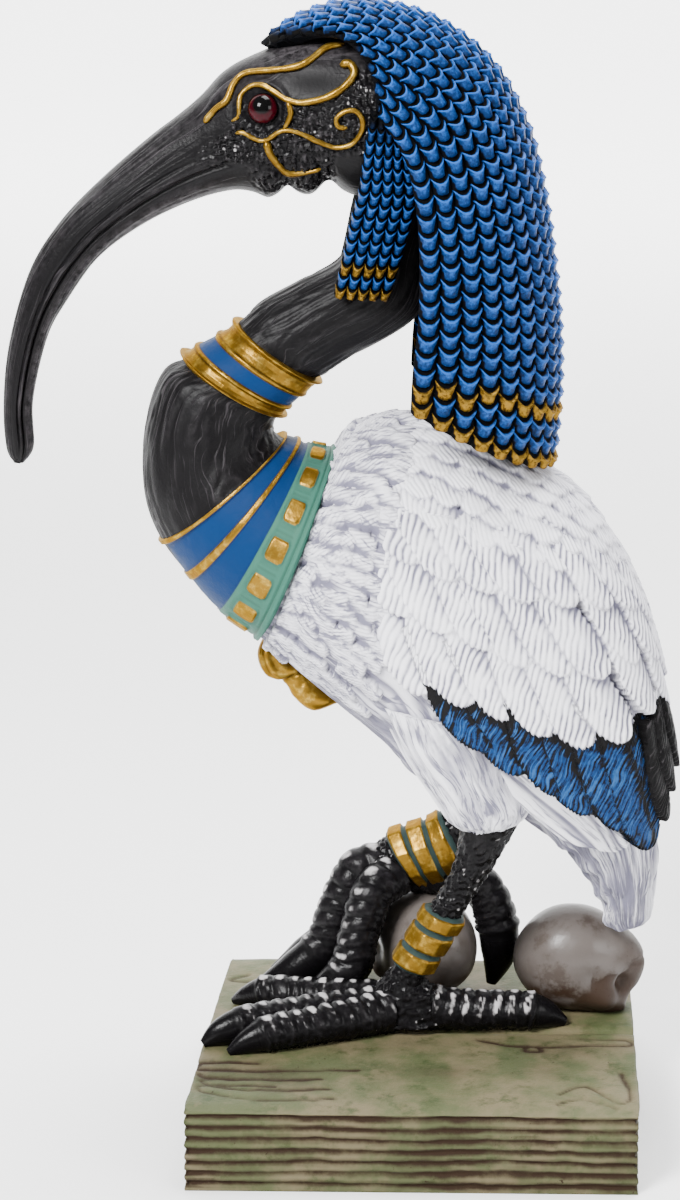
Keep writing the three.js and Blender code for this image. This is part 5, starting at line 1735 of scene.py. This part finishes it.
def strand_skin(surface, middle, half, low, pitch, gold_beads):
    """A strand of cup beads on a surface, from its foot at the table's last row up to the first. Bead rows
    are measured along the strand's middle and squared across it by the shear t - (dP/df . dP/dt) / |dP/dt|^2
    times the step from the middle. Across, each row is an arch sqrt(1 - (w / width)^2). Toward the table's
    first row the beads sink and darken with painted shade. The light on the rims and mid-bead is painted
    highlight, and the black in the low places is painted shade."""
    fine = np.linspace(low, 0, 300)
    line = surface(fine, np.full(300, middle), 0.0)
    run = np.concatenate([[0], np.cumsum(np.linalg.norm(np.diff(line, axis=0), axis=1))])
    count = int(math.ceil(run[-1] / pitch))
    w = STRAND_PLACES[None, None, :]
    table = np.array(BEAD_ROWS)[None, :, :, None]
    bead = np.arange(count)[:, None, None]
    foot = BEAD_FOOT_TURN * w**2 - BEAD_FOOT_DIP
    rim = 1 - BEAD_DIP * (1 - w**2)
    level = bead + foot + table[:, :, 0] * (rim - foot) + table[:, :, 1] * (1 + foot - rim)
    arch = np.sqrt(np.clip(1 - (w / table[:, :, 3]) ** 2, 0, 1))
    height = table[:, :, 2] * arch
    # Painted shade: black in the groove under each rim and wherever the bead surface lies low.
    black = np.clip(np.maximum(table[:, :, 4], 1.15 - 2.6 * height), 0, 1)
    rim_light = table[:, :, 5]
    # Painted highlight: light on each rim, strongest at the bead's middle and fading to its flanks.
    light = rim_light * np.where(rim_light > 1, np.clip(arch * 2, 0.4, 1), np.clip(1.9 * arch - 0.8, 0, 1))
    is_gold = np.isin(bead, (0, gold_beads)) + 0 * height
    shape = (count * len(BEAD_ROWS), len(STRAND_PLACES))
    level, height, black, light, is_gold = (
        np.broadcast_to(value, (count, len(BEAD_ROWS), len(STRAND_PLACES))).reshape(shape)
        for value in (level, height, black, light, is_gold)
    )
    t = np.interp(level * pitch, run, fine)
    # Painted shade: the beads toward the brow are darker and blacker.
    light = light * np.clip(0.2 + 0.9 * t, 0, 1)
    black = np.maximum(black, np.clip(1.0 - 0.9 * t, 0, 1))
    step = 0.25 * half
    ahead = (surface(t + 0.05, middle + 0 * t, 0.0) - surface(t - 0.05, middle + 0 * t, 0.0)) / 0.1
    aside = (surface(t, middle + step + 0 * t, 0.0) - surface(t, middle - step + 0 * t, 0.0)) / (2 * step)
    shear = (ahead * aside).sum(axis=-1) / np.maximum((ahead * ahead).sum(axis=-1), 1e-9)
    share = middle + half * STRAND_PLACES[None, :] + 0 * t
    t = t - shear * (share - middle)
    lift = BEAD_BASE + BEAD_RISE * height * np.clip(0.3 + 2.2 * t, 0, 1)
    lift[:, [0, -1]] = STRAND_EDGE
    t, share, lift, black, light, is_gold = (
        np.concatenate([value[:1], value, value[-1:]]) for value in (t, share, lift, black, light, is_gold)
    )
    lift[[0, -1]] = STRAND_END
    points = surface(t, share, lift)
    away = surface(t, share, lift + 1) - points
    return sheet(points, away, black=black, light=light, gold=is_gold)


def lining_skin():
    """The dark inside of the wig: a sheet under the beads and one further in, joined at the hem and brow."""
    t, across = np.meshgrid(np.linspace(0, WIG_LAST, 31), np.linspace(-1, 1, 41), indexing="ij")
    share = LINING_REACH * across
    outer = wig_surface(t, share, WIG_LINING + 0 * t)
    inner = wig_surface(t, share, WIG_LINING - WIG_THICKNESS * (1 - np.abs(across) ** (0.8 + t)))
    away = wig_surface(t, share, WIG_LINING + 1 + 0 * t) - outer
    points = np.concatenate([outer, inner[::-1], outer[:1]])
    return sheet(points, np.concatenate([away, -away[::-1], away[:1]]), black=np.ones(points.shape[:2]))


def wig_finish():
    """Blue with brushed, painted highlights on the rims, black painted shade in the hollows, worn dark
    patches and gold beads, all satin.
    """
    finish = Finish("wig_paint")
    brushed = finish.cloud(0.9, 4, 0.65)
    black = finish.value("black").between(0.3, 0.75)
    light = (finish.value("light") + (brushed - 0.5) * 2.3).between(-0.05, 1.0)
    colour = finish.blend(WIG_BLUE, WIG_LIGHT, light)
    golden = finish.blend(GOLD, GOLD_LIGHT, light * 0.15)
    golden = finish.blend(golden, GOLD_DARK, brushed.between(0.53, 0.36) * 0.85)
    gold = finish.value("gold").between(0.45, 0.55)
    colour = finish.blend(colour, golden, gold)
    worn = finish.cloud(2.6, 4, 0.7).between(0.5, 0.72) * 0.6
    colour = finish.blend(colour, WIG_BLACK, black)
    colour = finish.blend(colour, WIG_BLACK, worn)
    return finish.shade(
        Base_Color=colour,
        Metallic=0.6 * gold * (1 - black),
        Roughness=0.26 + 0.1 * brushed + 0.4 * black,
        Normal=finish.bumps(finish.cloud(0.8, 3, 0.6), 0.05),
        Specular_IOR_Level=0.08,
        Specular_Tint=GOLD_EDGE,
    )


wig_paint = wig_finish()
wig_parts = [lining_skin()]
for k in range(STRANDS):
    from_front = min(k, STRANDS - 1 - k)
    middle_share = (2 * k + 1) / STRANDS - 1
    wig_parts.append(
        strand_skin(wig_surface, middle_share, 1 / STRANDS, WIG_LAST, BEAD_PITCH, GOLD_BEADS[from_front])
    )
piece("wig", wig_parts, wig_paint)


# Lappets
# The wig's two front tails: five narrow strands of the same beads, from the temple down over each side of
# the neck, on a dark slab.
LAPPET_STRANDS = 5
LAPPET_PITCH = 2.7
LAPPET_BOW = 1.5
LAPPET_THICKNESS = 5.0
LAPPET = (
    (-9.7, 210.0, -1.5, 206.0, 16.5),
    (-11.2, 200.9, -1.0, 198.0, 17.0),
    (-12.4, 193.0, -0.2, 191.4, 16.5),
    (-14.2, 186.3, -1.4, 184.6, 15.5),
    (-15.8, 178.4, -3.2, 177.8, 14.5),
    (-17.2, 172.4, -4.9, 171.8, 13.8),
    (-17.8, 169.4, -5.8, 168.8, 13.6),
)
LAPPET_LAST = len(LAPPET) - 1


def lappet_surface(side):
    """The outer face of a lappet: from its front edge, -1, to its back edge, 1, bowed out between them."""

    def surface(t, share, lift):
        xf, zf, xb, zb, off = np.moveaxis(spline(LAPPET, t), -1, 0)
        x = (xf + xb) / 2 + share * (xb - xf) / 2
        z = (zf + zb) / 2 + share * (zb - zf) / 2
        y = side * (off + LAPPET_BOW * np.cos(share * math.pi / 2) + lift)
        return np.stack([x, y + 0 * x, z], axis=-1)

    return surface


def slab_skin(surface):
    """A rounded slab behind the face of a lappet."""
    t, turn = np.meshgrid(
        np.linspace(0, LAPPET_LAST - 0.08, 24), np.linspace(0, 2 * math.pi, 24, endpoint=False), indexing="ij"
    )
    depth = LAPPET_THICKNESS / 2
    points = surface(t, 0.97 * np.cos(turn), -1.2 - depth + depth * np.sin(turn))
    return tube(points, black=np.ones(points.shape[:2]))


for side_name, side in (("near", -1), ("far", 1)):
    face = lappet_surface(side)
    strands = [
        strand_skin(face, (2 * k + 1) / LAPPET_STRANDS - 1, 1 / LAPPET_STRANDS, LAPPET_LAST, LAPPET_PITCH, 2)
        for k in range(LAPPET_STRANDS)
    ]
    piece(side_name + "_lappet", [slab_skin(face), *strands], wig_paint)


# Stage
# A white paper sweep, lit from the upper left by one large soft lamp with weaker ones round it, and the
# camera where the photograph was taken from.
CAMERA_AT = (0.0, -0.723, 0.316)
CAMERA_PITCH = 15.15
CAMERA_YAW = 1.30
CAMERA_LENS = 102.15
SENSOR_WIDTH = 36.0
LAMP_TARGET = (0.0, 0.0, 0.12)
SWEEP_WIDTH = 8.0
SWEEP_FRONT = -3.0
SWEEP_BACK = 1.6
SWEEP_TURN = 1.0
SWEEP_HEIGHT = 5.0
SWEEP_WHITE = (0.88, 0.88, 0.88)
SWEEP_GLOW = 3.4
SWEEP_GLOW_FROM = 0.3
SWEEP_GLOW_TO = 1.5
SKY = 0.16
LAMPS = (
    ("key", (-0.55, -0.75, 0.85), 0.4, 42.0),
    ("fill", (0.75, -0.65, 0.45), 0.4, 6.0),
    ("top", (0.15, 0.15, 1.0), 0.5, 20.0),
)


def sweep_mesh():
    """The sweep's profile, a floor that turns up a quarter round into a wall, carried across its width."""
    turn = np.linspace(0, math.pi / 2, 24)
    y = np.concatenate([[SWEEP_FRONT], SWEEP_BACK + SWEEP_TURN * np.sin(turn), [SWEEP_BACK + SWEEP_TURN]])
    z = np.concatenate([[0.0], SWEEP_TURN * (1 - np.cos(turn)), [SWEEP_HEIGHT]])
    x = np.array([-SWEEP_WIDTH / 2, SWEEP_WIDTH / 2])
    points = np.stack(np.broadcast_arrays(x[:, None], y, z), axis=-1)
    made = bpy.data.meshes.new("sweep")
    made.from_pydata(points.reshape(-1, 3).tolist(), [], grid_faces(2, len(y), False).tolist())
    made.shade_smooth()
    return made


def sweep_paper():
    """White paper that glows more the further it lies behind the figure."""
    finish = Finish("sweep_paper")
    behind = Sum(finish, finish.node("SeparateXYZ", {}, {0: finish.place}).outputs[1])
    glow = finish.blend((0.0, 0.0, 0.0), (1.0, 1.0, 1.0), behind.between(SWEEP_GLOW_FROM, SWEEP_GLOW_TO))
    return finish.shade(
        Base_Color=SWEEP_WHITE, Roughness=0.9, Emission_Color=glow, Emission_Strength=SWEEP_GLOW
    )


sweep = bpy.data.objects.new("sweep", sweep_mesh())
sweep.data.materials.append(sweep_paper())
bpy.context.scene.collection.objects.link(sweep)


def aim(made, place, target):
    """Puts a lamp or camera at a place, looking at a target."""
    made.location = place
    made.rotation_euler = (Vector(target) - Vector(place)).to_track_quat("-Z", "Y").to_euler()
    bpy.context.scene.collection.objects.link(made)


for lamp_name, place, size, power in LAMPS:
    lamp = bpy.data.lights.new(lamp_name, "AREA")
    lamp.size = size
    lamp.energy = power
    aim(bpy.data.objects.new(lamp_name, lamp), place, LAMP_TARGET)

world = bpy.data.worlds.new("studio")
bpy.context.scene.world = world
world.use_nodes = True
world.node_tree.nodes["Background"].inputs["Color"].default_value = (1.0, 1.0, 1.0, 1.0)
world.node_tree.nodes["Background"].inputs["Strength"].default_value = SKY

pitch, yaw = math.radians(CAMERA_PITCH), math.radians(CAMERA_YAW)
looking = (-math.sin(yaw) * math.cos(pitch), math.cos(yaw) * math.cos(pitch), -math.sin(pitch))
lens = bpy.data.cameras.new("camera")
lens.lens = CAMERA_LENS
lens.sensor_width = SENSOR_WIDTH
camera = bpy.data.objects.new("camera", lens)
aim(camera, CAMERA_AT, [a + b for a, b in zip(CAMERA_AT, looking)])
bpy.context.scene.camera = camera
